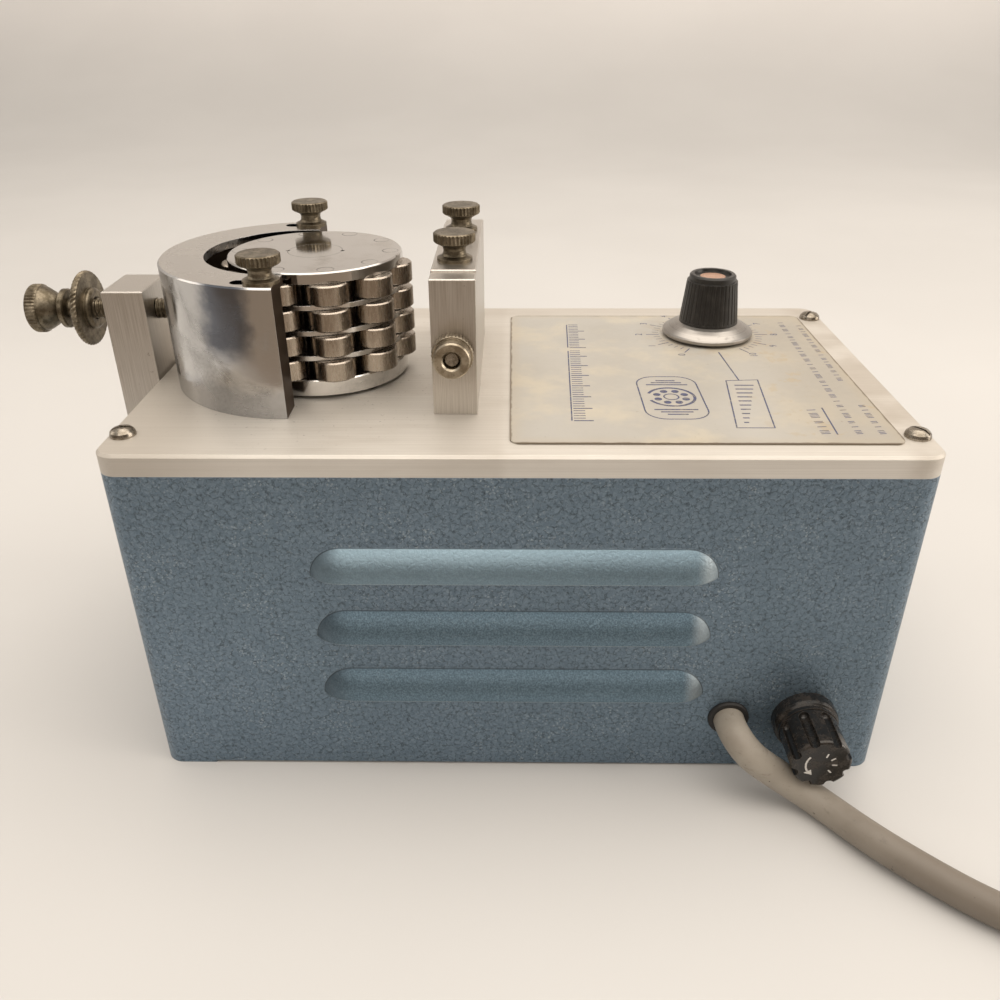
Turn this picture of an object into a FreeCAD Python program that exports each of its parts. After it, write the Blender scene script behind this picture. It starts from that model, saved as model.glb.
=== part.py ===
import FreeCAD, Part
import math
import os

# Bench-top peristaltic pump: a sheet-steel case with an aluminium deck, a four-tier roller head
# squeezed by a sliding C-shaped shoe, a tube clamp beside it and a speed knob on the name plate.
# Millimetres. Origin: centre of the underside. +X right, +Y to the back, +Z up; the louvred face
# with the power cord and the fuse looks towards -Y.

V = FreeCAD.Vector
X_AXIS = V(1, 0, 0)
Y_AXIS = V(0, 1, 0)
Z_AXIS = V(0, 0, 1)

# ---- case and deck -------------------------------------------------------------------------
WIDTH = 228.6
DEPTH = 130.2
DECK_TOP = 111.1
DECK_THICK = 6.35
DECK_BOTTOM = DECK_TOP - DECK_THICK
CORNER_R = 6.0
SHEET = 1.2
DECK_EDGE_CHAMFER = 0.8
FOOT_LENGTH = 17.0
FOOT_DROP = 0.8
DECK_SCREW_X = 109.8
DECK_SCREW_Y = 52.0
DECK_SCREW_R = 2.0
DECK_SCREW_HEAD_R = 3.6
DECK_SCREW_HEAD_H = 2.5
COVER_Z = 0.0
COVER_THICK = 1.2
COVER_SCREW_X = 100.0
COVER_SCREW_Y = 56.0
COVER_SCREW_R = 1.7
COVER_SCREW_HEAD_R = 2.9

# ---- louvres on the front face -------------------------------------------------------------
LOUVRE_X = -1.1
LOUVRE_LENGTH = 116.4
LOUVRE_HEIGHT = 9.6
LOUVRE_RISE = 4.5
LOUVRE_PITCH = 21.45
LOUVRE_LIP_Z = 73.1
LOUVRE_COUNT = 3

# ---- name plate and speed knob -------------------------------------------------------------
LABEL_X0 = -2.3
LABEL_X1 = 105.1
LABEL_Y0 = -57.7
LABEL_Y1 = 53.4
LABEL_THICK = 0.5
KNOB_X = 67.5
KNOB_Y = 31.9
KNOB_SKIRT_R = 15.6
KNOB_FOOT_R = 10.15
KNOB_WAIST_R = 8.6
KNOB_CAP_R = 7.9
KNOB_FLUTES = 36
SPINDLE_R = 3.17

# ---- roller head ---------------------------------------------------------------------------
ROTOR_X = -62.3
ROTOR_R = 26.4
ROTOR_GAP = 1.0
BASE_DISC = 4.9
TOP_DISC = 3.2
SPACER_DISC = 1.4
ROLLER_H = 6.0
ROLLER_SIDE_GAP = 0.1
TIERS = 4
ROLLER_R = 6.35
ROLLER_COUNT = 10
PIN_CIRCLE_R = 23.1
PIN_R = 2.38
HUB_R = 8.2
SLEEVE_R = 14.0
SHAFT_R = 4.0
TIER_PITCH = ROLLER_H + 2 * ROLLER_SIDE_GAP + SPACER_DISC
HEAD_H = 38.1

# ---- pressure shoe -------------------------------------------------------------------------
SHOE_X = -67.6
SHOE_R = 41.2
SHOE_BORE_R = 31.6
SHOE_LIP_R = 28.0
SHOE_LIP_H = 2.5
SHOE_CUT_X = -66.3
SLOT_Y = 35.2
SLOT_X0 = -79.0
SLOT_X1 = -67.9
SLOT_HALF_W = 2.25
SHOE_SCREW_X = -70.3

# ---- adjuster on the left edge -------------------------------------------------------------
ADJ_Z = DECK_TOP + 20.0
BRACKET_THICK = 12.7
BRACKET_HALF_W = 10.0
BRACKET_TOP = DECK_TOP + 28.1
BRACKET_BOTTOM = DECK_TOP - 26.0
ADJ_SCREW_R = 3.17
ADJ_HEAD_X = -153.6
LOCK_NUT_X = -137.2

# ---- tube clamp ----------------------------------------------------------------------------
CLAMP_X0 = -24.4
CLAMP_X1 = -11.7
CLAMP_HALF = 30.1
CLAMP_TOP = DECK_TOP + 40.1
JAW_OUT = 37.5
JAW_GAP = 0.3
JAW_TOP = DECK_TOP + 39.5
STUD_X = -18.3
STUD_Z = DECK_TOP + 18.7
STUD_R = 2.38
CLAMP_SCREW_X = -18.2
CLAMP_SCREW_Y = 19.1

# ---- cord and fuse on the front face -------------------------------------------------------
FRONT_Y = -DEPTH / 2
CORD_X = 65.9
CORD_Z = 20.7
CORD_R = 4.7
CORD_INSIDE = 24.0
CORD_PATH = ((66.3, -70.9, 20.5), (69.5, -76.5, 17.8), (76.2, -78.6, 12.6), (87.7, -82.0, 6.0),
             (101.0, -96.8, 5.2), (112.6, -108.4, 5.0), (126.7, -120.1, 4.9), (148.0, -132.2, 4.85))
FUSE_X = 89.2
FUSE_Z = 20.9
FUSE_FLANGE_R = 9.9
FUSE_HOLDER_OUT = 6.1
FUSE_CAP_R = 8.8
FUSE_CAP_END = 20.0
FUSE_CAP_FLUTES = 8
FUSE_CAP_FLUTE_R = 1.5
FUSE_CAP_FLUTE_START = 8.2

FIT = 0.02
RUN = 0.05


def cylinder(r, h, base, axis=Z_AXIS):
    return Part.makeCylinder(r, h, V(*base), axis)


def block(x0, x1, y0, y1, z0, z1):
    return Part.makeBox(x1 - x0, y1 - y0, z1 - z0, V(x0, y0, z0))


def rounded_slab(x0, x1, y0, y1, z0, z1, r):
    slab = block(x0, x1, y0, y1, z0, z1)
    corners = [e for e in slab.Edges if abs(e.Vertexes[0].Z - e.Vertexes[1].Z) > 1e-6]
    return slab.makeFillet(r, corners)


def turned(points, base=(0, 0, 0), axis=Z_AXIS):
    """Solid of revolution from (radius, height) points, stood on base along axis."""
    wire = Part.makePolygon([V(r, 0, h) for r, h in points] + [V(points[0][0], 0, points[0][1])])
    solid = Part.Face(wire).revolve(V(0, 0, 0), Z_AXIS, 360)
    solid.Placement = FreeCAD.Placement(V(*base), FreeCAD.Rotation(Z_AXIS, axis))
    return solid


def star_prism(outer_r, inner_r, count, z0, z1):
    """Straight knurl: a prism whose outline steps between two radii."""
    points = []
    for i in range(2 * count):
        r = outer_r if i % 2 == 0 else inner_r
        a = math.pi * i / count
        points.append(V(r * math.cos(a), r * math.sin(a), z0))
    points.append(points[0])
    return Part.Face(Part.makePolygon(points)).extrude(V(0, 0, z1 - z0))


def hexagon(across_flats, z0, z1):
    r = across_flats / math.sqrt(3)
    points = [V(r * math.cos(math.pi * i / 3), r * math.sin(math.pi * i / 3), z0) for i in range(7)]
    return Part.Face(Part.makePolygon(points)).extrude(V(0, 0, z1 - z0))


def stood(shape, base, axis=Z_AXIS):
    placed = shape.copy()
    placed.Placement = FreeCAD.Placement(V(*base), FreeCAD.Rotation(Z_AXIS, axis))
    return placed


def joined(shapes):
    whole = shapes[0].multiFuse(shapes[1:]) if len(shapes) > 1 else shapes[0]
    return whole.removeSplitter()


def thumb_screw(shank_r, shank_length, height=8.0, head_r=6.0, flange_r=5.1, neck_r=3.2, teeth=34):
    """Knurled thumb screw standing on its flange, shank downwards."""
    head_z = height - 2.9
    arc = []
    for i in range(7):
        a = math.pi * i / 6
        arc.append((neck_r + 1.15 - 1.15 * math.sin(a), 1.3 + (head_z - 1.9) * (1 - math.cos(a)) / 2))
    profile = [(0, -shank_length), (shank_r, -shank_length), (shank_r, 0), (flange_r, 0), (flange_r, 0.9)]
    profile += arc
    profile += [(head_r - 0.6, head_z), (head_r - 0.6, height - 0.3), (0, height - 0.3)]
    body = turned(profile)
    knurl = star_prism(head_r, head_r - 0.32, teeth, head_z, height)
    crown = turned([(0, head_z), (head_r - 0.45, head_z), (head_r + 0.1, head_z + 0.5),
                    (head_r + 0.1, height - 0.45), (head_r - 0.5, height), (0, height)])
    return joined([body, knurl.common(crown)])


# ---- case ----------------------------------------------------------------------------------
def louvre_hood(lip_z, thinner):
    """Long hood with ball ends: it swells out of the wall from a crease and stops at a downward lip."""
    bend_r = (LOUVRE_HEIGHT ** 2 + LOUVRE_RISE ** 2) / (2 * LOUVRE_RISE)
    axis_y = FRONT_Y - LOUVRE_RISE + bend_r
    half = LOUVRE_LENGTH / 2 - LOUVRE_HEIGHT
    radius = bend_r - thinner
    bar = cylinder(radius, 2 * half, (LOUVRE_X - half, axis_y, lip_z), X_AXIS)
    ends = [Part.makeSphere(radius, V(LOUVRE_X + s * half, axis_y, lip_z)) for s in (-1, 1)]
    above = block(-WIDTH, WIDTH, FRONT_Y - 10, FRONT_Y + SHEET - 0.1 + thinner, lip_z - thinner, lip_z + 20)
    return joined([bar] + ends).common(above)


def make_housing():
    hx = WIDTH / 2
    hy = DEPTH / 2
    outer = rounded_slab(-hx, hx, -hy, hy, 0, DECK_BOTTOM, CORNER_R)
    lips = [LOUVRE_LIP_Z - i * LOUVRE_PITCH for i in range(LOUVRE_COUNT)]
    hoods = [louvre_hood(lip, 0) for lip in lips]
    hollows = [louvre_hood(lip, 1.1) for lip in lips]
    shell = joined([outer] + hoods)
    cavity = rounded_slab(-hx + SHEET, hx - SHEET, -hy + SHEET, hy - SHEET, -1, DECK_BOTTOM + 1,
                          CORNER_R - SHEET)
    shell = shell.cut(cavity)
    for hollow in hollows:
        shell = shell.cut(hollow)
    # raised bottom edge between the four corners, so the case stands on its corners
    shell = shell.cut(block(-hx + FOOT_LENGTH, hx - FOOT_LENGTH, -hy - 1, hy + 1, -1, FOOT_DROP))
    shell = shell.cut(block(-hx - 1, hx + 1, -hy + FOOT_LENGTH, hy - FOOT_LENGTH, -1, FOOT_DROP))
    # tabs for the deck screws and for the bottom cover
    tabs = []
    for sx in (-1, 1):
        for sy in (-1, 1):
            x_in, x_out = sorted((sx * 103.0, sx * (hx - SHEET / 2)))
            y_a, y_b = sorted((sy * 45.0, sy * 59.0))
            tabs.append(block(x_in, x_out, y_a, y_b, DECK_BOTTOM - 3.0, DECK_BOTTOM))
            x_in, x_out = sorted((sx * 94.0, sx * 106.0))
            y_a, y_b = sorted((sy * 50.0, sy * (hy - SHEET / 2)))
            tabs.append(block(x_in, x_out, y_a, y_b, COVER_Z + COVER_THICK, COVER_Z + COVER_THICK + 2.0))
    shell = joined([shell] + tabs)
    for sx in (-1, 1):
        for sy in (-1, 1):
            shell = shell.cut(cylinder(DECK_SCREW_R + FIT, 8, (sx * DECK_SCREW_X, sy * DECK_SCREW_Y,
                                                               DECK_BOTTOM - 5)))
            shell = shell.cut(cylinder(COVER_SCREW_R + FIT, 6, (sx * COVER_SCREW_X, sy * COVER_SCREW_Y,
                                                                COVER_Z)))
    shell = shell.cut(cylinder(5.6 + FIT, 6, (CORD_X, FRONT_Y - 2, CORD_Z), Y_AXIS))
    shell = shell.cut(cylinder(6.4 + FIT, 6, (FUSE_X, FRONT_Y - 2, FUSE_Z), Y_AXIS))
    shell = shell.cut(cylinder(2.0 + FIT, 6, (-hx - 2, 0, DECK_TOP - 19), X_AXIS))
    return shell


def make_deck():
    hx = WIDTH / 2
    hy = DEPTH / 2
    deck = rounded_slab(-hx, hx, -hy, hy, DECK_BOTTOM, DECK_TOP, CORNER_R)
    rim = [e for e in deck.Edges if e.BoundBox.ZMin > DECK_TOP - 1e-3]
    deck = deck.makeChamfer(DECK_EDGE_CHAMFER, rim)
    holes = []
    z = DECK_BOTTOM - 1
    for sx in (-1, 1):
        for sy in (-1, 1):
            holes.append(cylinder(DECK_SCREW_R + FIT, 9, (sx * DECK_SCREW_X, sy * DECK_SCREW_Y, z)))
            holes.append(cylinder(2.0 + FIT, 9, (ROTOR_X + sx * 15, sy * 15, z)))
            holes.append(turned([(0, 0), (2.0 + FIT, 0), (4.0 + FIT, 2.0), (4.0 + FIT, 4), (0, 4)],
                                (ROTOR_X + sx * 15, sy * 15, DECK_TOP - 2.0)))
    holes.append(cylinder(8.0 + FIT, 9, (ROTOR_X, 0, z)))
    for sy in (-1, 1):
        holes.append(cylinder(2.08 + RUN, 9, (SHOE_SCREW_X, sy * SLOT_Y, z)))
        holes.append(cylinder(STUD_R + RUN, 9, (CLAMP_SCREW_X, sy * CLAMP_SCREW_Y, z)))
    holes.append(cylinder(4.7 + FIT, 9, (KNOB_X, KNOB_Y, z)))
    holes.append(cylinder(2.0 + FIT, 14, (-hx - 2, 0, DECK_TOP - 3.2), X_AXIS))
    for hole in holes:
        deck = deck.cut(hole)
    return deck


def make_deck_screws():
    dome = turned([(0, 0), (DECK_SCREW_HEAD_R, 0), (DECK_SCREW_HEAD_R, 0.5), (3.35, 1.3), (2.7, 1.95),
                   (1.6, 2.4), (0.6, DECK_SCREW_HEAD_H), (0, DECK_SCREW_HEAD_H)])
    screw = joined([dome, cylinder(DECK_SCREW_R, 12, (0, 0, -12))])
    screw = screw.cut(block(-4, 4, -0.45, 0.45, 1.4, 3))
    spots = [(sx * DECK_SCREW_X, sy * DECK_SCREW_Y) for sx in (-1, 1) for sy in (-1, 1)]
    turns = (20, 75, 130, 48)
    screws = []
    for (x, y), turn in zip(spots, turns):
        one = screw.copy()
        one.rotate(V(0, 0, 0), Z_AXIS, turn)
        one.translate(V(x, y, DECK_TOP))
        screws.append(one)
    return Part.makeCompound(screws)


def make_bottom_cover():
    hx = WIDTH / 2 - SHEET - 0.1
    hy = DEPTH / 2 - SHEET - 0.1
    cover = rounded_slab(-hx, hx, -hy, hy, COVER_Z, COVER_Z + COVER_THICK, CORNER_R - SHEET)
    seat = turned([(0, 0), (COVER_SCREW_HEAD_R + FIT, 0), (COVER_SCREW_R + FIT, COVER_THICK), (0, COVER_THICK)])
    for sx in (-1, 1):
        for sy in (-1, 1):
            cover = cover.cut(stood(seat, (sx * COVER_SCREW_X, sy * COVER_SCREW_Y, COVER_Z)))
    return cover


def make_cover_screws():
    """Countersunk slotted screws, flush with the underside."""
    screws = []
    for sx in (-1, 1):
        for sy in (-1, 1):
            screw = turned([(0, 0), (COVER_SCREW_HEAD_R, 0), (COVER_SCREW_R, COVER_THICK), (COVER_SCREW_R, 7),
                            (0, 7)])
            slotted = screw.cut(block(-2.2, 2.2, -0.4, 0.4, -1, 0.6))
            screws.append(stood(slotted, (sx * COVER_SCREW_X, sy * COVER_SCREW_Y, COVER_Z)))
    return Part.makeCompound(screws)


# ---- name plate and knob -------------------------------------------------------------------
def make_name_plate():
    plate = rounded_slab(LABEL_X0, LABEL_X1, LABEL_Y0, LABEL_Y1, DECK_TOP, DECK_TOP + LABEL_THICK, 3.0)
    return plate.cut(cylinder(4.7 + FIT, 4, (KNOB_X, KNOB_Y, DECK_TOP - 1)))


def make_knob_skirt():
    return turned([(3.4, 5.7), (3.4, 4.7), (9.4, 4.7), (14.2, 2.5), (14.2, 1.4), (KNOB_SKIRT_R - 0.3, 1.4),
                   (KNOB_SKIRT_R, 1.7), (KNOB_SKIRT_R, 2.6), (KNOB_SKIRT_R - 0.5, 3.1), (13.2, 4.4),
                   (11.6, 5.2), (KNOB_FOOT_R, 5.7)], (KNOB_X, KNOB_Y, DECK_TOP))


def make_knob_body():
    foot = 5.7
    ledge = 20.2
    top = 22.4
    bore = SPINDLE_R + FIT
    body = turned([(bore, foot), (KNOB_FOOT_R, foot), (KNOB_WAIST_R, ledge), (KNOB_CAP_R, ledge + 0.15),
                   (KNOB_CAP_R, top - 0.5), (KNOB_CAP_R - 0.5, top), (6.3, top), (6.0, top - 1.0),
                   (4.3, top - 1.0), (4.3, top - 1.8), (0, top - 1.8), (0, 17.0), (bore, 17.0)])
    for i in range(KNOB_FLUTES):
        a = 2 * math.pi * i / KNOB_FLUTES
        tilt = (KNOB_FOOT_R - KNOB_WAIST_R) / (ledge - foot)
        r0 = KNOB_FOOT_R + 0.12
        start = V(r0 * math.cos(a), r0 * math.sin(a), foot + 0.9)
        lean = V(-tilt * math.cos(a), -tilt * math.sin(a), 1)
        body = body.cut(Part.makeCylinder(0.42, 20, start, lean))
    return stood(body, (KNOB_X, KNOB_Y, DECK_TOP))


def make_knob_insert():
    return cylinder(4.3 - FIT, 0.9, (KNOB_X, KNOB_Y, DECK_TOP + 20.6))


def make_knob_spindle():
    return cylinder(SPINDLE_R, 26.0, (KNOB_X, KNOB_Y, DECK_TOP - 9.0))


def make_potentiometer():
    case = turned([(SPINDLE_R + RUN, 0), (12.0, 0), (12.0, 9.5), (4.7, 9.5), (4.7, 9.5 + DECK_THICK + 4.0),
                   (SPINDLE_R + RUN, 9.5 + DECK_THICK + 4.0)])
    back = cylinder(12.0, 1.5, (0, 0, -1.5))
    lugs = [block(-1.2 + s, 1.2 + s, -17, -10.0, 1.0, 2.0) for s in (-5, 0, 5)]
    pot = joined([case, back] + lugs)
    return stood(pot, (KNOB_X, KNOB_Y, DECK_BOTTOM - 9.5))


def make_pot_nut():
    nut = hexagon(12.0, 0, 1.9).cut(cylinder(4.7 + FIT, 4, (0, 0, -1)))
    return stood(nut, (KNOB_X, KNOB_Y, DECK_TOP + LABEL_THICK))


# ---- roller head ---------------------------------------------------------------------------
def tier_z(i):
    return DECK_TOP + ROTOR_GAP + BASE_DISC + i * TIER_PITCH


def pin_spot(i):
    a = 2 * math.pi * i / ROLLER_COUNT
    return ROTOR_X + PIN_CIRCLE_R * math.cos(a), PIN_CIRCLE_R * math.sin(a)


def rotor_disc(z, thick, pin_from=-1.0):
    disc = cylinder(ROTOR_R, thick, (ROTOR_X, 0, z))
    disc = disc.cut(cylinder(HUB_R + FIT, thick + 2, (ROTOR_X, 0, z - 1)))
    for i in range(ROLLER_COUNT):
        x, y = pin_spot(i)
        disc = disc.cut(cylinder(PIN_R + FIT, thick + 5, (x, y, z + pin_from)))
    return disc


def bevelled(disc, size, levels):
    rims = [e for e in disc.Edges if e.Curve.TypeId == "Part::GeomCircle"
            and abs(e.Curve.Radius - ROTOR_R) < 1e-6
            and min(abs(e.BoundBox.ZMin - z) for z in levels) < 1e-3]
    return disc.makeChamfer(size, rims)


def make_rotor_top_disc():
    z = DECK_TOP + HEAD_H - TOP_DISC
    disc = bevelled(rotor_disc(z, TOP_DISC), 0.4, [z + TOP_DISC])
    for s in (-1, 1):
        disc = disc.cut(cylinder(0.7, 1.2, (ROTOR_X + s * (HUB_R + 0.2), 0, z + TOP_DISC - 1.0)))
    return disc


def make_rotor_base_disc():
    z = DECK_TOP + ROTOR_GAP
    return bevelled(rotor_disc(z, BASE_DISC, 1.5), 0.4, [z + BASE_DISC])


def make_rotor_spacer_discs():
    discs = []
    for i in range(TIERS - 1):
        z = tier_z(i) + ROLLER_H + 2 * ROLLER_SIDE_GAP
        discs.append(rotor_disc(z, SPACER_DISC))
    return Part.makeCompound(discs)


def make_rotor_sleeves():
    sleeves = []
    for i in range(TIERS):
        ring = cylinder(SLEEVE_R, ROLLER_H + 2 * ROLLER_SIDE_GAP, (ROTOR_X, 0, tier_z(i)))
        sleeves.append(ring.cut(cylinder(HUB_R + FIT, 10, (ROTOR_X, 0, tier_z(i) - 1))))
    return Part.makeCompound(sleeves)


def make_rotor_hub():
    hub = cylinder(HUB_R, HEAD_H - ROTOR_GAP, (ROTOR_X, 0, DECK_TOP + ROTOR_GAP))
    for s in (-1, 1):
        hub = hub.cut(cylinder(0.7, 1.2, (ROTOR_X + s * (HUB_R + 0.2), 0, DECK_TOP + HEAD_H - 1.0)))
    return joined([hub, cylinder(SHAFT_R, 26, (ROTOR_X, 0, DECK_TOP + ROTOR_GAP - 25))])


def make_roller_pins():
    pins = []
    for i in range(ROLLER_COUNT):
        x, y = pin_spot(i)
        pins.append(cylinder(PIN_R, HEAD_H - ROTOR_GAP - 1.5, (x, y, DECK_TOP + ROTOR_GAP + 1.5)))
    return Part.makeCompound(pins)


def make_roller_set(i):
    x, y = pin_spot(i)
    rollers = []
    edge = 0.4
    bore = PIN_R + RUN
    for tier in range(TIERS):
        z = tier_z(tier) + ROLLER_SIDE_GAP
        rollers.append(turned([(bore, 0), (ROLLER_R - edge, 0), (ROLLER_R, edge), (ROLLER_R, ROLLER_H - edge),
                               (ROLLER_R - edge, ROLLER_H), (bore, ROLLER_H)], (x, y, z)))
    return Part.makeCompound(rollers)


def make_shaft_bush():
    return turned([(SHAFT_R + RUN, -DECK_THICK), (8.0, -DECK_THICK), (8.0, 0), (10.0, 0), (10.0, 0.7),
                   (SHAFT_R + RUN, 0.7)], (ROTOR_X, 0, DECK_TOP))


def make_gearbox():
    case = rounded_slab(ROTOR_X - 27, ROTOR_X + 27, -27, 27, DECK_BOTTOM - 28, DECK_BOTTOM, 4.0)
    case = case.cut(cylinder(SHAFT_R + RUN, 21, (ROTOR_X, 0, DECK_BOTTOM - 20)))
    for sx in (-1, 1):
        for sy in (-1, 1):
            case = case.cut(cylinder(2.0 + FIT, 11, (ROTOR_X + sx * 15, sy * 15, DECK_BOTTOM - 10)))
    return case


def make_gearbox_screws():
    screws = []
    for sx in (-1, 1):
        for sy in (-1, 1):
            screw = turned([(0, -15), (2.0, -15), (2.0, -2.0), (4.0, 0), (0, 0)],
                           (ROTOR_X + sx * 15, sy * 15, DECK_TOP))
            screws.append(screw.cut(block(ROTOR_X + sx * 15 - 3.2, ROTOR_X + sx * 15 + 3.2, sy * 15 - 0.45,
                                          sy * 15 + 0.45, DECK_TOP - 1.0, DECK_TOP + 1)))
    return Part.makeCompound(screws)


def make_motor():
    can = turned([(0, 0), (6.0, 0), (6.0, 3.0), (20.5, 3.0), (22.0, 4.5), (22.0, 48.0), (0, 48.0)],
                 (ROTOR_X, 0, DECK_BOTTOM - 28 - 48))
    return can


# ---- pressure shoe -------------------------------------------------------------------------
def make_pressure_shoe():
    z0 = DECK_TOP + 0.03
    top = DECK_TOP + HEAD_H
    ring = turned([(SHOE_BORE_R, z0), (SHOE_R, z0), (SHOE_R, top - 0.5), (SHOE_R - 0.5, top), (SHOE_LIP_R, top),
                   (SHOE_LIP_R, top - SHOE_LIP_H), (SHOE_BORE_R, top - SHOE_LIP_H)], (SHOE_X, 0, 0))
    shoe = ring.common(block(SHOE_X - 50, SHOE_CUT_X, -50, 50, z0 - 1, top + 1))
    for sy in (-1, 1):
        y = sy * SLOT_Y
        x_a = SLOT_X0 + SLOT_HALF_W
        x_b = SLOT_X1 - SLOT_HALF_W
        slot = joined([block(x_a, x_b, y - SLOT_HALF_W, y + SLOT_HALF_W, z0 - 1, top + 1),
                       cylinder(SLOT_HALF_W, HEAD_H + 2, (x_a, y, z0 - 1)),
                       cylinder(SLOT_HALF_W, HEAD_H + 2, (x_b, y, z0 - 1))])
        shoe = shoe.cut(slot)
    return shoe.cut(cylinder(2.2 + RUN, 4.0, (SHOE_X - SHOE_R - 1.5, 0, ADJ_Z), X_AXIS))


def make_shoe_screw(sy):
    return stood(thumb_screw(2.08, HEAD_H + 0.03 + DECK_THICK), (SHOE_SCREW_X, sy * SLOT_Y,
                                                                DECK_TOP + HEAD_H + 0.03))


# ---- adjuster ------------------------------------------------------------------------------
def make_bracket():
    x1 = -WIDTH / 2
    x0 = x1 - BRACKET_THICK
    bar = block(x0, x1, -BRACKET_HALF_W, BRACKET_HALF_W, BRACKET_BOTTOM, BRACKET_TOP)
    bar = bar.makeChamfer(0.35, [e for e in bar.Edges if e.BoundBox.ZMin > BRACKET_TOP - 1e-3])
    bar = bar.cut(cylinder(ADJ_SCREW_R + RUN, 20, (x0 - 2, 0, ADJ_Z), X_AXIS))
    for drop in (3.2, 19.0):
        bar = bar.cut(cylinder(2.0 + FIT, 20, (x0 - 2, 0, DECK_TOP - drop), X_AXIS))
        bar = bar.cut(cylinder(3.7, 6.0, (x0 - 2, 0, DECK_TOP - drop), X_AXIS))
    return bar


def make_bracket_screws():
    x0 = -WIDTH / 2 - BRACKET_THICK + 4.0
    screws = []
    for drop, length in ((3.2, 17.0), (19.0, 13.5)):
        head = cylinder(3.5, 3.0, (x0 - 3.0, 0, DECK_TOP - drop), X_AXIS)
        shank = cylinder(2.0, length, (x0, 0, DECK_TOP - drop), X_AXIS)
        socket = stood(hexagon(3.0, 0, 2.0), (x0 - 3.0, 0, DECK_TOP - drop), X_AXIS)
        screws.append(joined([head, shank]).cut(socket))
    return Part.makeCompound(screws)


def make_bracket_nut():
    nut = hexagon(8.0, 0, 3.0).cut(cylinder(2.0 + FIT, 6, (0, 0, -1)))
    return stood(nut, (-WIDTH / 2 + SHEET, 0, DECK_TOP - 19.0), X_AXIS)


def make_adjusting_screw():
    head_r = 7.7
    base = (ADJ_HEAD_X, 0, ADJ_Z)
    tip = SHOE_X - SHOE_R - 0.05 - ADJ_HEAD_X
    profile = [(0, 0.2), (6.9, 0.2), (6.9, 3.7), (6.6, 4.6), (5.4, 6.6), (3.9, 8.3), (3.2, 9.0), (3.2, 9.5),
               (6.1, 9.7), (6.1, 11.2), (5.6, 11.6), (ADJ_SCREW_R, 11.6), (ADJ_SCREW_R, tip - 0.6),
               (ADJ_SCREW_R - 0.6, tip), (2.2, tip), (2.2, tip + 2.2), (0, tip + 2.2)]
    knurl = star_prism(head_r, head_r - 0.35, 40, 0, 3.7)
    crown = turned([(0, 0), (head_r - 0.6, 0), (head_r + 0.1, 0.5), (head_r + 0.1, 3.2), (head_r - 0.6, 3.7),
                    (0, 3.7)])
    return stood(joined([turned(profile), knurl.common(crown)]), base, X_AXIS)


def make_lock_nut():
    outer_r = 11.85
    bore = ADJ_SCREW_R + RUN
    knurl = star_prism(outer_r, outer_r - 0.35, 60, 0, 2.0)
    crown = turned([(0, 0), (outer_r - 0.4, 0), (outer_r + 0.1, 0.4), (outer_r + 0.1, 1.6), (outer_r - 0.4, 2.0),
                    (0, 2.0)])
    hub = turned([(0, 1.0), (6.4, 1.0), (6.4, 3.0), (5.6, 3.7), (0, 3.7)])
    nut = joined([knurl.common(crown), hub]).cut(cylinder(bore, 6, (0, 0, -1)))
    return stood(nut, (LOCK_NUT_X, 0, ADJ_Z), X_AXIS)


# ---- tube clamp ----------------------------------------------------------------------------
def make_clamp_block():
    bar = block(CLAMP_X0, CLAMP_X1, -CLAMP_HALF, CLAMP_HALF, DECK_TOP, CLAMP_TOP)
    bar = bar.makeChamfer(0.3, [e for e in bar.Edges if e.BoundBox.ZMin > CLAMP_TOP - 1e-3])
    for sy in (-1, 1):
        bar = bar.cut(cylinder(STUD_R + RUN, 60, (CLAMP_SCREW_X, sy * CLAMP_SCREW_Y, DECK_TOP - 5)))
        bar = bar.cut(cylinder(STUD_R + FIT, 10, (STUD_X, sy * (CLAMP_HALF - 7.5), STUD_Z), V(0, sy, 0)))
    return bar


def make_jaw(sy):
    y_a, y_b = sorted((sy * (CLAMP_HALF + JAW_GAP), sy * JAW_OUT))
    jaw = block(CLAMP_X0, CLAMP_X1, y_a, y_b, DECK_TOP + 0.05, JAW_TOP)
    jaw = jaw.makeChamfer(0.3, [e for e in jaw.Edges if e.BoundBox.ZMin > JAW_TOP - 1e-3])
    return jaw.cut(cylinder(STUD_R + RUN, 20, (STUD_X, sy * (CLAMP_HALF - 5), STUD_Z), V(0, sy, 0)))


def make_clamp_studs():
    length = 7.5 + (43.1 - CLAMP_HALF)
    studs = []
    for sy in (-1, 1):
        stud = turned([(0, 0), (STUD_R, 0), (STUD_R, length - 0.5), (STUD_R - 0.5, length), (0, length)],
                      (STUD_X, sy * (CLAMP_HALF - 7.5), STUD_Z), V(0, sy, 0))
        studs.append(stud)
    return Part.makeCompound(studs)


def make_clamp_nut(sy):
    bore = STUD_R + RUN
    knurl = star_prism(6.0, 5.7, 34, 0, 3.0)
    crown = turned([(0, 0), (5.6, 0), (6.1, 0.4), (6.1, 2.6), (5.6, 3.0), (0, 3.0)])
    boss = turned([(0, 1), (5.2, 1), (5.2, 6.6), (4.8, 7.0), (bore + 0.5, 7.0), (bore, 6.5), (0, 6.5)])
    nut = joined([knurl.common(crown), boss]).cut(cylinder(bore, 9, (0, 0, -1)))
    return stood(nut, (STUD_X, sy * (JAW_OUT + 0.03), STUD_Z), V(0, sy, 0))


def make_clamp_screw(sy):
    return stood(thumb_screw(STUD_R, CLAMP_TOP - DECK_BOTTOM), (CLAMP_SCREW_X, sy * CLAMP_SCREW_Y, CLAMP_TOP))


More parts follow.
